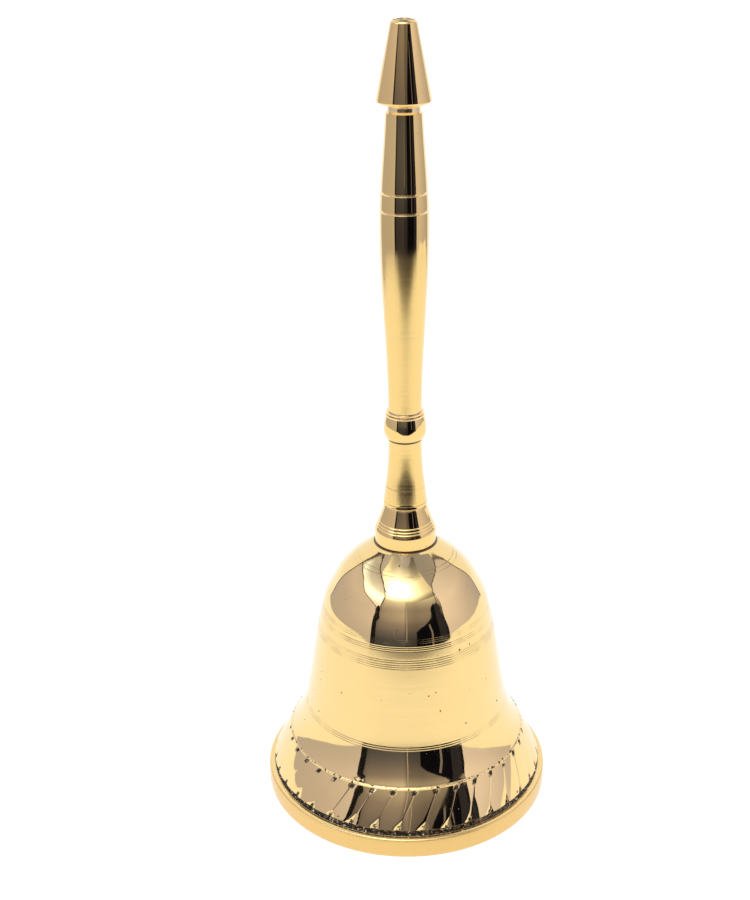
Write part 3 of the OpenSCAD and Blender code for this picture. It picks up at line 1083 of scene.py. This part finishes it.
@dataclass
class Handle:
    """The handle: a foot with its stem, a grip with its ring, and a finial.

    The lines of the cone are in millimetres over the band of the foot.
    """

    colour: Colour = (0.93, 0.65, 0.235)
    seat_z: float = 66.4 * MM
    foot_r: float = 7.3 * MM
    foot_band_h: float = 3.3 * MM
    foot_cone_h: float = 6.2 * MM
    foot_neck_r: float = 5.05 * MM
    step_r: float = 5.25 * MM
    step_h: float = 0.7 * MM
    stem_h: float = 16.4 * MM
    stem_r: float = 3.9 * MM
    ring_r: float = 4.975 * MM
    ring_h: float = 5.6 * MM
    ring_end_r: float = 4.45 * MM
    fillet_h: float = 0.38 * MM
    fillet_gap: float = 0.27 * MM
    fillet_step: float = 0.1 * MM
    fillet_edge: float = 0.08 * MM
    taper_h: float = 42.6 * MM
    grip_low_r: float = 3.875 * MM
    belly_r: float = 5.47 * MM
    upper_h: float = 24.7 * MM
    grip_top_r: float = 4.03 * MM
    neck_h: float = 1.2 * MM
    neck_depth: float = 0.45 * MM
    line_depth: float = 0.3 * MM
    line_w: float = 0.62 * MM
    line_rise: float = 3.9 * MM
    line_gap: float = 4.0 * MM
    finial_r: float = 6.0 * MM
    finial_h: float = 17.8 * MM
    undercut_h: float = 1.0 * MM
    tip_r: float = 2.75 * MM
    tip_round: float = 0.9 * MM
    dish_depth: float = 0.22 * MM
    grip_polish_z: float = 136.6 * MM
    cone_lines: tuple[float, ...] = (0.9, 1.5, 2.2)
    columns: int = 192

    def __post_init__(self) -> None:
        """Stacks the heights of the handle."""
        self.cone_z = self.seat_z + self.foot_band_h
        self.step_z = self.cone_z + self.foot_cone_h
        self.stem_z = self.step_z + self.step_h
        self.grip_z = self.stem_z + self.stem_h
        self.fillet_z = self.grip_z + self.ring_h
        self.taper_z = self.fillet_z + 2 * (self.fillet_h + self.fillet_gap)
        self.belly_z = self.taper_z + self.taper_h
        self.lip_z = self.belly_z + self.upper_h
        self.finial_z = self.lip_z + self.neck_h
        self.tip_z = self.finial_z + self.finial_h
        self.neck_r = self.grip_top_r - self.neck_depth
        self.grip_lines = [self.belly_z + self.line_rise + rise for rise in (0.0, self.line_gap)]

    def foot_outline(self) -> list[Vector]:
        """Draws the half section of the foot and its stem.

        Returns:
            The points as radius and height.
        """
        shape = Outline()
        shape.corner(0.0, self.seat_z)
        shape.corner(self.foot_r, self.seat_z, 0.45 * MM)
        shape.corner(self.foot_r, self.cone_z - 0.25 * MM)
        cone = [Station(self.foot_r, self.cone_z, 113), Station(self.foot_neck_r, self.step_z, 107)]
        shape.follow(smooth_curve(cone, 16))
        shape.corner(self.foot_neck_r - 0.15 * MM, self.step_z + self.step_h / 3, 0.1 * MM)
        shape.corner(self.step_r, self.step_z + self.step_h * 2 / 3, 0.1 * MM)
        drop = self.step_r - self.stem_r
        stem = [Station(self.step_r - 0.04 * drop, self.stem_z, 96.5),
                Station(self.stem_r + 0.44 * drop, self.stem_z + 0.34 * self.stem_h, 97.5),
                Station(self.stem_r + 0.04 * drop, self.stem_z + 0.73 * self.stem_h, 93),
                Station(self.stem_r, self.grip_z, 90.5)]
        shape.follow(smooth_curve(stem, 10))
        shape.corner(0.0, self.grip_z)
        return shape.rounded(5, [ToolLine(self.cone_z + z * MM, 0.07 * MM, 0.34 * MM)
                                 for z in self.cone_lines])

    def grip_outline(self) -> list[Vector]:
        """Draws the half section of the ring and the grip.

        Returns:
            The points as radius and height.
        """
        shape = Outline()
        shape.corner(0.0, self.grip_z)
        shape.corner(self.stem_r + 0.2 * MM, self.grip_z)
        barrel = [Station(self.ring_end_r, self.grip_z + 0.2 * MM, 70),
                  Station(self.ring_r, self.grip_z + 0.34 * self.ring_h, 91),
                  Station(self.ring_end_r, self.fillet_z, 106)]
        shape.follow(smooth_curve(barrel, 10))
        low_r, edge = self.grip_low_r, self.fillet_edge
        height = self.fillet_z
        for radius in (self.ring_end_r + self.fillet_step, self.ring_end_r - self.fillet_step):
            shape.corner(radius, height, edge)
            shape.corner(radius, height + self.fillet_h, edge)
            height += self.fillet_h
            shape.corner(low_r, height, edge)
            height += self.fillet_gap
            shape.corner(low_r, height, edge)
        grip = [Station(low_r, height + 0.12 * MM, 90), Station(self.belly_r, self.belly_z, 90),
                Station(self.grip_top_r, self.lip_z, 93)]
        shape.follow(smooth_curve(grip, 28))
        shape.corner(self.grip_top_r - 0.22 * MM, self.lip_z + 0.22 * MM, 0.1 * MM)
        shape.corner(self.neck_r, self.lip_z + self.neck_depth, 0.1 * MM)
        shape.corner(self.neck_r, self.finial_z)
        shape.corner(0.0, self.finial_z)
        return shape.rounded(4, [ToolLine(z, self.line_depth, self.line_w) for z in self.grip_lines])

    def finial_outline(self) -> list[Vector]:
        """Draws the half section of the finial.

        Returns:
            The points as radius and height.
        """
        cone = 90 + math.degrees(math.atan2(self.finial_r - self.tip_r, self.finial_h - self.undercut_h))
        foot_z = self.finial_z + self.undercut_h
        shape = Outline()
        shape.corner(0.0, self.finial_z)
        shape.corner(self.neck_r + 0.1 * MM, self.finial_z)
        shape.follow(smooth_curve([Station(self.finial_r - 0.15 * MM, foot_z, 50),
                                   Station(self.finial_r, foot_z + 0.4 * MM, cone)], 8))
        shape.follow(smooth_curve([Station(self.tip_r + 0.15 * MM, self.tip_z - self.tip_round, cone),
                                   Station(self.tip_r - self.tip_round, self.tip_z, 175)], 12))
        dish_r, dish_z = self.tip_r - self.tip_round - 0.25 * MM, self.tip_z - self.dish_depth
        shape.corner(dish_r, self.tip_z, 0.06 * MM)
        shape.corner(dish_r - 0.08 * MM, dish_z, 0.06 * MM)
        shape.corner(0.0, dish_z)
        return shape.rounded(3)

    def build(self) -> list[tuple[bpy.types.Object, str]]:
        """Turns the three sections.

        Returns:
            Each piece with the node that it stands for.
        """
        turning = Turning(self.finish().material(), self.columns)
        sections = (("turned_foot", "handle_foot", self.foot_outline()),
                    ("turned_grip", "handle_grip", self.grip_outline()),
                    ("turned_finial", "finial", self.finial_outline()))
        return [(turn_piece(name, outline, turning), node) for name, node, outline in sections]

    def finish(self) -> BrassFinish:
        """Makes the brass of the handle.

        Returns:
            A finish that is polished on the cone, the ring and the upper grip, with painted highlights on
            the fillets, the neck and the grip's turned lines, painted shadow in its gaps and painted shade
            along its other lines.
        """
        polished = (Band(self.seat_z + 3.1 * MM, self.stem_z + 1.2 * MM, 0.8 * MM),
                    Band(self.grip_z - 0.2 * MM, self.taper_z + 0.4 * MM, 0.3 * MM),
                    Band(self.grip_polish_z, self.tip_z + 5 * MM, 3.2 * MM))
        over, inset = 0.02 * MM, 0.06 * MM
        ring_top = self.fillet_z + self.fillet_h
        # painted shadow under the flange, where the grip meets the stem, round the rim of the tip's dish and
        # in the two gaps between the fillets
        joints = (Band(self.seat_z - 1 * MM, self.seat_z + 0.2 * MM, 0.08 * MM),
                  Band(self.grip_z - 0.5 * MM, self.grip_z + 0.1 * MM, 0.1 * MM),
                  Band(self.tip_z - 0.18 * MM, self.tip_z - 0.02 * MM, 0.05 * MM),
                  Band(ring_top + inset, ring_top + self.fillet_gap - inset, over),
                  Band(self.taper_z - self.fillet_gap + inset, self.taper_z - inset, over))
        # painted highlight on the grip's turned lines, the fillets and the neck
        pale = (*(Band(z - self.line_w / 2, z + self.line_w / 2, 0.08 * MM) for z in self.grip_lines),
                Band(self.fillet_z - over, self.taper_z + over, over),
                Band(self.lip_z, self.finial_z + self.undercut_h, 0.1 * MM))
        # lines with painted shade: the middle of the step, and two on the stem
        lines = (self.step_z + self.step_h / 2, self.stem_z + 0.5 * MM, self.stem_z + 4.4 * MM)
        return BrassFinish("handle_brass", self.colour, polished, joints, lines, 0.3 * MM, pale,
                           turned_roughness=0.15, mark_depth=0.0015 * MM, hatching=7 * MM,
                           pit_size=0.08, pit_share=0.4)

    def dress(self, pieces: list[tuple[bpy.types.Object, str]]) -> None:
        """Seats the sections on their nodes."""
        for piece, node in pieces:
            seat_piece(piece, node, Body.BELL)


@dataclass
class Clapper:
    """The ball of the clapper, with the flats that the wire is riveted on."""

    colour: Colour = (0.80, 0.56, 0.24)
    ball_r: float = 7.0 * MM
    ball_z: float = 12.0 * MM
    flat_r: float = 1.6 * MM
    hole_r: float = 0.85 * MM
    belt_h: float = 2 * MM
    steps: int = 40
    columns: int = 128

    def build(self) -> bpy.types.Object:
        """Turns the ball round its hole.

        Returns:
            The ball.
        """
        top = math.pi / 2 - math.asin(self.flat_r / self.ball_r)
        shape = Outline()
        shape.corner(self.hole_r, self.ball_z + self.ball_r * math.sin(-top))
        for i in range(self.steps + 1):
            angle = 2 * top * i / self.steps - top
            shape.corner(self.ball_r * math.cos(angle), self.ball_z + self.ball_r * math.sin(angle))
        shape.corner(self.hole_r, self.ball_z + self.ball_r * math.sin(top))
        shape.corner(*shape.points[0])
        belt = Band(self.ball_z - self.belt_h, self.ball_z + self.belt_h, self.belt_h / 2)
        metal = BrassFinish("clapper_brass", self.colour, (belt,), polished_roughness=0.2,
                            turned_roughness=0.38, mark_depth=0.003 * MM, pit_share=0.2).material()
        return turn_piece("turned_ball", shape.points, Turning(metal, self.columns))

    def dress(self, piece: bpy.types.Object) -> None:
        """Seats the ball on its node."""
        seat_piece(piece, "clapper_ball", Body.CLAPPER)


@dataclass
class Ironwork:
    """The wires and fixings inside the cup, which keep their own solids."""

    nodes: tuple[str, ...] = ("eye_rod", "crown_washer", "crown_nut", "hanger_ring", "clapper_rod")

    def dress(self) -> None:
        """Gives each of them plated steel."""
        steel = SteelFinish("plated_steel").material()
        for name in self.nodes:
            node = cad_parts[name]
            node.data.materials.clear()
            node.data.materials.append(steel)
            LOG.info("%s: plated steel on its own solid", name)


@dataclass
class CameraStand:
    """The camera, in the place that the turned circles of the bell give."""

    place: tuple[float, float, float] = (0.0, -296.4 * MM, 217.0 * MM)
    pitch: float = -23.25
    yaw: float = -1.36
    roll: float = -0.74
    lens: float = 55.32
    sensor: float = 36.0
    nearest: float = 10 * MM

    def build(self) -> None:
        """Sets up the camera."""
        pitch, yaw, roll = (math.radians(a) for a in (self.pitch, self.yaw, self.roll))
        ahead = Vector((math.sin(yaw) * math.cos(pitch), math.cos(yaw) * math.cos(pitch), math.sin(pitch)))
        side = Vector((math.cos(yaw), -math.sin(yaw), 0.0))
        above = side.cross(ahead)
        right = math.cos(roll) * side + math.sin(roll) * above
        up = math.cos(roll) * above - math.sin(roll) * side
        turn = Matrix((right, up, -ahead)).transposed()
        data = bpy.data.cameras.new("camera")
        data.sensor_fit = "AUTO"
        data.sensor_width = self.sensor
        data.lens = self.lens
        data.clip_start = self.nearest
        camera = bpy.data.objects.new("camera", data)
        camera.matrix_world = Matrix.Translation(self.place) @ turn.to_4x4()
        bpy.context.scene.collection.objects.link(camera)
        bpy.context.scene.camera = camera
        LOG.info("camera: lens of %.1f mm", self.lens)


def spot_at(side: float, rise: float, distance: float) -> Vector:
    """Finds a point by its direction from the bell.

    Args:
        side: Degrees round from the camera, to the right.
        rise: Degrees up.
        distance: Distance of the point.

    Returns:
        The point.
    """
    side, rise = math.radians(side), math.radians(rise)
    flat = distance * math.cos(rise)
    return Vector((flat * math.sin(side), -flat * math.cos(side), distance * math.sin(rise)))


def sheet_mesh(name: str, places: list[Vector], faces: list[tuple[int, ...]],
               material: bpy.types.Material) -> bpy.types.Mesh:
    """Makes the mesh of a sheet.

    Args:
        name: Name of the mesh.
        places: Its vertices.
        faces: Its faces.
        material: Its material.

    Returns:
        The mesh.
    """
    mesh = bpy.data.meshes.new(name)
    mesh.from_pydata(places, [], faces)
    mesh.materials.append(material)
    return mesh


def strip_faces(steps: Iterable[int]) -> list[tuple[int, ...]]:
    """Returns the faces of a strip of vertex pairs, for the given steps along it."""
    return [(2 * i, 2 * i + 2, 2 * i + 3, 2 * i + 1) for i in steps]


def stage_sheet(mesh: bpy.types.Mesh, only_mirrored: bool, rise: float = 0.0) -> None:
    """Adds a sheet of the studio to the scene.

    Args:
        mesh: Its mesh.
        only_mirrored: Whether only reflections see it.
        rise: Height of its origin.
    """
    sheet = bpy.data.objects.new(mesh.name, mesh)
    sheet.location.z = rise
    if only_mirrored:
        sheet.visible_camera = False
        sheet.visible_diffuse = False
        sheet.visible_shadow = False
    bpy.context.scene.collection.objects.link(sheet)


@dataclass(frozen=True)
class Panel:
    """A card of the studio's walls: its edges, its shades by height and its strength by side.

    An edge is a side with the lowest and the highest degree of the card there.
    """

    name: str
    edges: tuple[Edge, ...]
    shades: tuple[tuple[float, Colour], ...]
    strengths: Course = ((-180, 1.0), (180, 1.0))
    gain: float = 1.0
    layer: int = 0
    rows: int = 14
    column_span: float = 3

    def mesh(self, distance: float) -> bpy.types.Mesh:
        """Builds the card as a curved grid.

        Args:
            distance: Distance from the bell.

        Returns:
            The mesh.
        """
        stops = []
        for start, end in zip(self.edges, self.edges[1:]):
            count = max(1, math.ceil((end[0] - start[0]) / self.column_span))
            stops += [tuple(a + (b - a) * (i / count) for a, b in zip(start, end)) for i in range(count)]
        stops.append(self.edges[-1])
        places = [spot_at(side, low + (high - low) * k / self.rows, distance)
                  for side, low, high in stops for k in range(self.rows + 1)]
        pitch = self.rows + 1
        corners = [i * pitch + k for i in range(len(stops) - 1) for k in range(self.rows)]
        faces = [(c, c + pitch, c + pitch + 1, c + 1) for c in corners]
        return sheet_mesh(self.name, places, faces, self.material())

    def material(self) -> bpy.types.Material:
        """Builds the glow of the card.

        Returns:
            An emission that depends on height and side only.
        """
        made, wires = blank_material(self.name)
        where = wires.out("ShaderNodeTexCoord", output="Object")
        axes = wires.outs("ShaderNodeSeparateXYZ", {0: where})
        length = wires.out("ShaderNodeVectorMath", {0: where}, "Value", operation="LENGTH")
        rise = wires.math("ARCSINE", axes["Z"] / length)
        side = wires.math("ARCTAN2", axes["X"], axes["Y"] * -1.0)
        span = HIGHEST - LOWEST
        height = rise * (math.degrees(1) / span) - LOWEST / span
        turn = side * (1 / math.tau) + 0.5
        stops = [((angle - LOWEST) / span, colour) for angle, colour in self.shades]
        halves = [((angle + 180) / 360, (v / 2, v / 2, v / 2)) for angle, v in self.strengths]
        strength = self.ramp(wires, turn, halves) * (2 * self.gain)
        glow = {"Color": self.ramp(wires, height, stops), "Strength": strength}
        wires.node("ShaderNodeOutputMaterial", {0: wires.out("ShaderNodeEmission", glow)})
        return made

    def ramp(self, wires: Wiring, value: Wire, stops: list[tuple[float, Colour]]) -> Wire:
        """Adds a colour ramp.

        Args:
            wires: The material's wiring.
            value: Where to read the ramp, from 0 to 1.
            stops: Its stops, as places and colours.

        Returns:
            The colour.
        """
        ramp = wires.node("ShaderNodeValToRGB", {0: value})
        elements = ramp.color_ramp.elements
        for i, (spot, colour) in enumerate(stops):
            stop = elements[i] if i < 2 else elements.new(spot)
            stop.position = spot
            stop.color = (*colour, 1.0)
        return Wire(wires, ramp.outputs[0])


@dataclass(frozen=True)
class Seam:
    """A thin seam of the walls, through a list of directions; its width is in degrees."""

    name: str
    course: Course
    width: float
    colour: Colour = (0.05, 0.045, 0.04)
    layer: int = 5

    def mesh(self, distance: float) -> bpy.types.Mesh:
        """Builds the seam as a ribbon.

        Args:
            distance: Distance from the bell.

        Returns:
            The mesh.
        """
        points = [spot_at(side, rise, distance) for side, rise in self.course]
        half = distance * math.radians(self.width) / 2
        last = len(points) - 1
        places = []
        for i, point in enumerate(points):
            ahead = points[min(i + 1, last)] - points[max(i - 1, 0)]
            across = ahead.cross(point).normalized() * half
            places += [point - across, point + across]
        return sheet_mesh(self.name, places, strip_faces(range(last)), self.material())

    def material(self) -> bpy.types.Material:
        """Builds a plain emission.

        Returns:
            The material.
        """
        made, wires = blank_material(self.name)
        glow = wires.out("ShaderNodeEmission", {"Color": self.colour})
        wires.node("ShaderNodeOutputMaterial", {0: glow})
        return made


def hanging(*tops: Span) -> tuple[Edge, ...]:
    """Returns the edges of a card that hangs down from a list of sides and tops."""
    return tuple((side, LOWEST, top) for side, top in tops)


def roofing(*feet: Span) -> tuple[Edge, ...]:
    """Returns the edges of a card that runs up and over from a list of sides and feet."""
    return tuple((side, foot, HIGHEST) for side, foot in feet)


@dataclass
class Walls:
    """The walls of the studio, tan cloth with a dark front, which only the metal sees."""

    distance: float = 3.0
    layer_gap: float = 20 * MM
    eye_height: float = 55 * MM

    def panels(self) -> list[Panel]:
        """Lists the cards of the walls.

        Returns:
            The cards.
        """
        tan = ((-20, (0.50, 0.49, 0.62)), (-3, (0.55, 0.55, 0.71)), (8, (0.59, 0.57, 0.75)),
               (25, (0.70, 0.67, 0.86)), (46, (0.62, 0.62, 0.82)))
        dark = ((-12, (0.04, 0.04, 0.07)), (-6, (0.055, 0.06, 0.10)), (0, (0.095, 0.10, 0.15)),
                (10, (0.15, 0.145, 0.21)), (22, (0.27, 0.25, 0.31)), (32, (0.58, 0.56, 0.64)),
                (40, (0.88, 0.90, 0.98)))
        black = ((-45, (0.004, 0.004, 0.008)), (90, (0.004, 0.004, 0.012)))
        slate = ((-45, (0.012, 0.014, 0.03)), (15, (0.03, 0.03, 0.05)))
        cloud = ((30, (0.62, 0.64, 0.84)), (60, (0.50, 0.52, 0.72)), (90, (0.42, 0.44, 0.64)))
        light = ((38, (0.22, 0.225, 0.245)), (43, (0.55, 0.56, 0.58)), (47, (1.0, 1.0, 1.0)),
                 (62, (1.0, 1.0, 1.0)), (68, (0.42, 0.43, 0.47)), (76, (0.115, 0.12, 0.165)))
        cream = ((22, (0.26, 0.26, 0.33)), (29, (0.34, 0.36, 0.46)), (37, (0.60, 0.72, 0.96)),
                 (45, (0.30, 0.33, 0.42)), (54, (0.20, 0.21, 0.29)))
        ceiling = roofing((-106, 51), (-99, 54), (-76, 55), (-56, 53), (-43, 46), (54, 41), (64, 50),
                          (95, 49), (107, 47))
        left = hanging((-132, -5), (-131, -2), (-129, 9), (-127, 17), (-125, 27), (-123, 32), (-119, 38),
                       (-114, 44), (-106, 51), (-98, 55), (-76, 56), (-56, 54), (-42, 47))
        right = hanging((54, 42), (64, 51), (77, 52), (95, 50), (107, 48), (115, 42), (123, 33),
                        (125, 24), (128, 15), (130, 9), (132, -5))
        front = hanging((-43, 49), (-14, 47), (35, 40), (48, 46), (57, 46))
        window = ((-80, 58, 76), (-60, 56, 76), (-42, 49, 76), (-41, 38, 76), (57, 38, 76))
        blaze = ((-122, 30, 31), (-112, 34, 44), (-97, 37, 53), (-88, 35, 54), (-77, 31, 54.5),
                 (-58, 27, 52.5), (-44, 23, 46), (-41, 24, 42))
        return [
            Panel("ceiling", ceiling, cloud, ((-98, 0.95), (-70, 1.2), (-45, 1.45), (-20, 1.1),
                                              (20, 0.95), (60, 0.7), (100, 0.7))),
            Panel("back_ceiling", roofing((107, 68), (180, 64), (254, 68)), cloud,
                  ((-180, 0.9), (-98, 0.95), (100, 0.7), (180, 0.9))),
            Panel("left_cloth", left, tan, ((-130, 0.95), (-60, 1.03), (-41, 1.1)), layer=1),
            Panel("right_cloth", right, tan, ((55, 1.35), (80, 1.25), (105, 1.05), (130, 0.88)), layer=1),
            Panel("dark_front", front, dark, ((-42, 0.72), (-36, 1.0), (-2, 1.2), (0, 0.75),
                                              (16, 0.65), (40, 0.9)), layer=2),
            Panel("black_blind", hanging((14, 12), (20, 17), (30, 21), (38, 24), (45, 29)), black, layer=3),
            Panel("slate_blind", hanging((45, 27), (51, 28), (55, 21), (57, 2)), slate, layer=3),
            Panel("window", window, light, ((-80, 0.3), (-55, 0.5), (-35, 0.9), (-20, 1.0), (8, 0.8),
                                            (26, 0.42), (40, 0.27), (57, 0.2)), gain=4.0, layer=3),
            Panel("cream_cloth", blaze, cream, ((-121, 0.6), (-95, 0.75), (-62, 1.1), (-41, 1.1)),
                  gain=3.0, layer=4),
        ]

    def seams(self) -> list[Seam]:
        """Lists the seams of the walls.

        Returns:
            The seams.
        """
        black = (0.01, 0.01, 0.012)
        left = ((-133, -12), (-132, -5), (-131, -2), (-129, 9), (-127, 17), (-125, 27), (-123, 32),
                (-119, 38), (-114, 44), (-106, 51), (-99, 54.5), (-88, 55), (-76, 56), (-56, 54),
                (-43, 47), (-39, 41), (-39, 33), (-41, 24))
        right = ((133, -12), (132, -5), (130, 9), (128, 15), (125, 24), (123, 33), (115, 42), (107, 48),
                 (95, 50), (77, 52), (64, 51), (54, 42), (51, 26), (55, 21))
        fold = ((-123, 30), (-112, 34), (-97, 37), (-77, 31), (-58, 27), (-44, 23))
        return [
            Seam("left_seam", left, 1.2),
            Seam("left_fold", fold, 0.9),
            Seam("left_post", ((-41, 25), (-45, 21), (-44, 14), (-43, 4), (-43, -45)), 6.0, black),
            Seam("right_seam", right, 1.2, (0.14, 0.12, 0.12)),
            Seam("right_post", ((55, 21), (56.5, 12), (57, 0), (57, -45)), 2.6, black),
            Seam("blind_gap", ((33, 19), (35, 8), (35, -8)), 2.2, (0.22, 0.21, 0.27)),
            Seam("middle_fold", ((1.5, 30), (1.5, 14), (1, -3)), 0.8, (0.5, 0.48, 0.5)),
        ]

    def build(self) -> None:
        """Hangs the cards and seams, each in front of those of a lower layer."""
        for card in self.panels() + self.seams():
            stage_sheet(card.mesh(self.distance - card.layer * self.layer_gap), True, self.eye_height)


@dataclass
class Studio:
    """A sheet of white paper under plain white light, its edge partly turned up, and the walls.

    The rim lists sides with the distance of the paper's edge there and its turned-up height in
    millimetres.
    """

    back_r: float = 3.0
    back_sides: range = range(132, 230, 8)
    glow: float = 0.97
    grey: float = 0.12
    bounce: float = 0.8
    rim: tuple[tuple[float, float, float], ...] = (
        (-132, 0.39, 0), (-106, 0.39, 1), (-98, 0.39, 5), (-86, 0.39, 9), (-73, 0.39, 9),
        (-58, 0.39, 6), (-45, 0.39, 1), (-40, 0.405, 0), (50, 0.405, 0), (57, 0.40, 1),
        (62, 0.39, 12), (77, 0.39, 33), (110, 0.39, 36), (122, 0.39, 26), (132, 0.39, 1))

    def build(self) -> None:
        """Sets up the world, the paper and the walls."""
        world = bpy.data.worlds.new("white_world")
        world.use_nodes = True
        sky = world.node_tree.nodes["Background"]
        sky.inputs["Color"].default_value = (1.0, 1.0, 1.0, 1.0)
        sky.inputs["Strength"].default_value = 1.0
        bpy.context.scene.world = world
        stage_sheet(self.flat(), only_mirrored=False)
        stage_sheet(self.turned_edge(), only_mirrored=True)
        Walls().build()
        bpy.context.scene.view_settings.view_transform = "Standard"
        LOG.info("studio: paper, its edge and the walls")

    def flat(self) -> bpy.types.Mesh:
        """Makes the flat of the paper, which ends in front of the bell and runs on far behind it.

        Returns:
            The mesh.
        """
        front = [spot_at(side, 0, reach) for side, reach, _ in self.rim]
        back = [spot_at(side, 0, self.back_r) for side in self.back_sides]
        places = [Vector((0, 0, 0)), *front, *back]
        count = len(places) - 1
        faces = [(0, 1 + i, 1 + (i + 1) % count) for i in range(count)]
        return sheet_mesh("paper", places, faces, self.material())

    def turned_edge(self) -> bpy.types.Mesh:
        """Makes the strip of the edge that is turned up.

        Returns:
            The mesh.
        """
        places = []
        for side, reach, height in self.rim:
            foot = spot_at(side, 0, reach)
            places += [foot, foot + Vector((0, 0, height * MM))]
        turned = [i for i in range(len(self.rim) - 1) if self.rim[i][2] and self.rim[i + 1][2]]
        return sheet_mesh("paper_edge", places, strip_faces(turned), self.material())

    def material(self) -> bpy.types.Material:
        """Builds the white of the paper, which keeps a faint shadow.

        Returns:
            The material.
        """
        made, wires = blank_material("paper")
        path = wires.outs("ShaderNodeLightPath")
        seen = path["Is Camera Ray"].at_least(path["Is Glossy Ray"]).at_least(path["Is Transmission Ray"])
        shaded = wires.out("ShaderNodeBsdfDiffuse", {"Color": (self.grey, self.grey, self.grey)})
        glow = wires.out("ShaderNodeEmission", {"Strength": self.glow})
        white = wires.out("ShaderNodeAddShader", {0: shaded, 1: glow})
        paper = wires.out("ShaderNodeBsdfDiffuse", {"Color": (self.bounce, self.bounce, self.bounce)})
        both = wires.out("ShaderNodeMixShader", {0: seen, 1: paper, 2: white})
        wires.node("ShaderNodeOutputMaterial", {0: both})
        return made


def main() -> None:
    """Builds and dresses the bell, the studio and the camera."""
    logging.basicConfig(level=logging.INFO, format="%(name)s: %(message)s")
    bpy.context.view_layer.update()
    CameraStand().build()
    Studio().build()
    cup = BellCup()
    cup.dress(cup.build())
    handle = Handle()
    handle.dress(handle.build())
    clapper = Clapper()
    clapper.dress(clapper.build())
    Ironwork().dress()


if __name__ == "__main__":
    main()
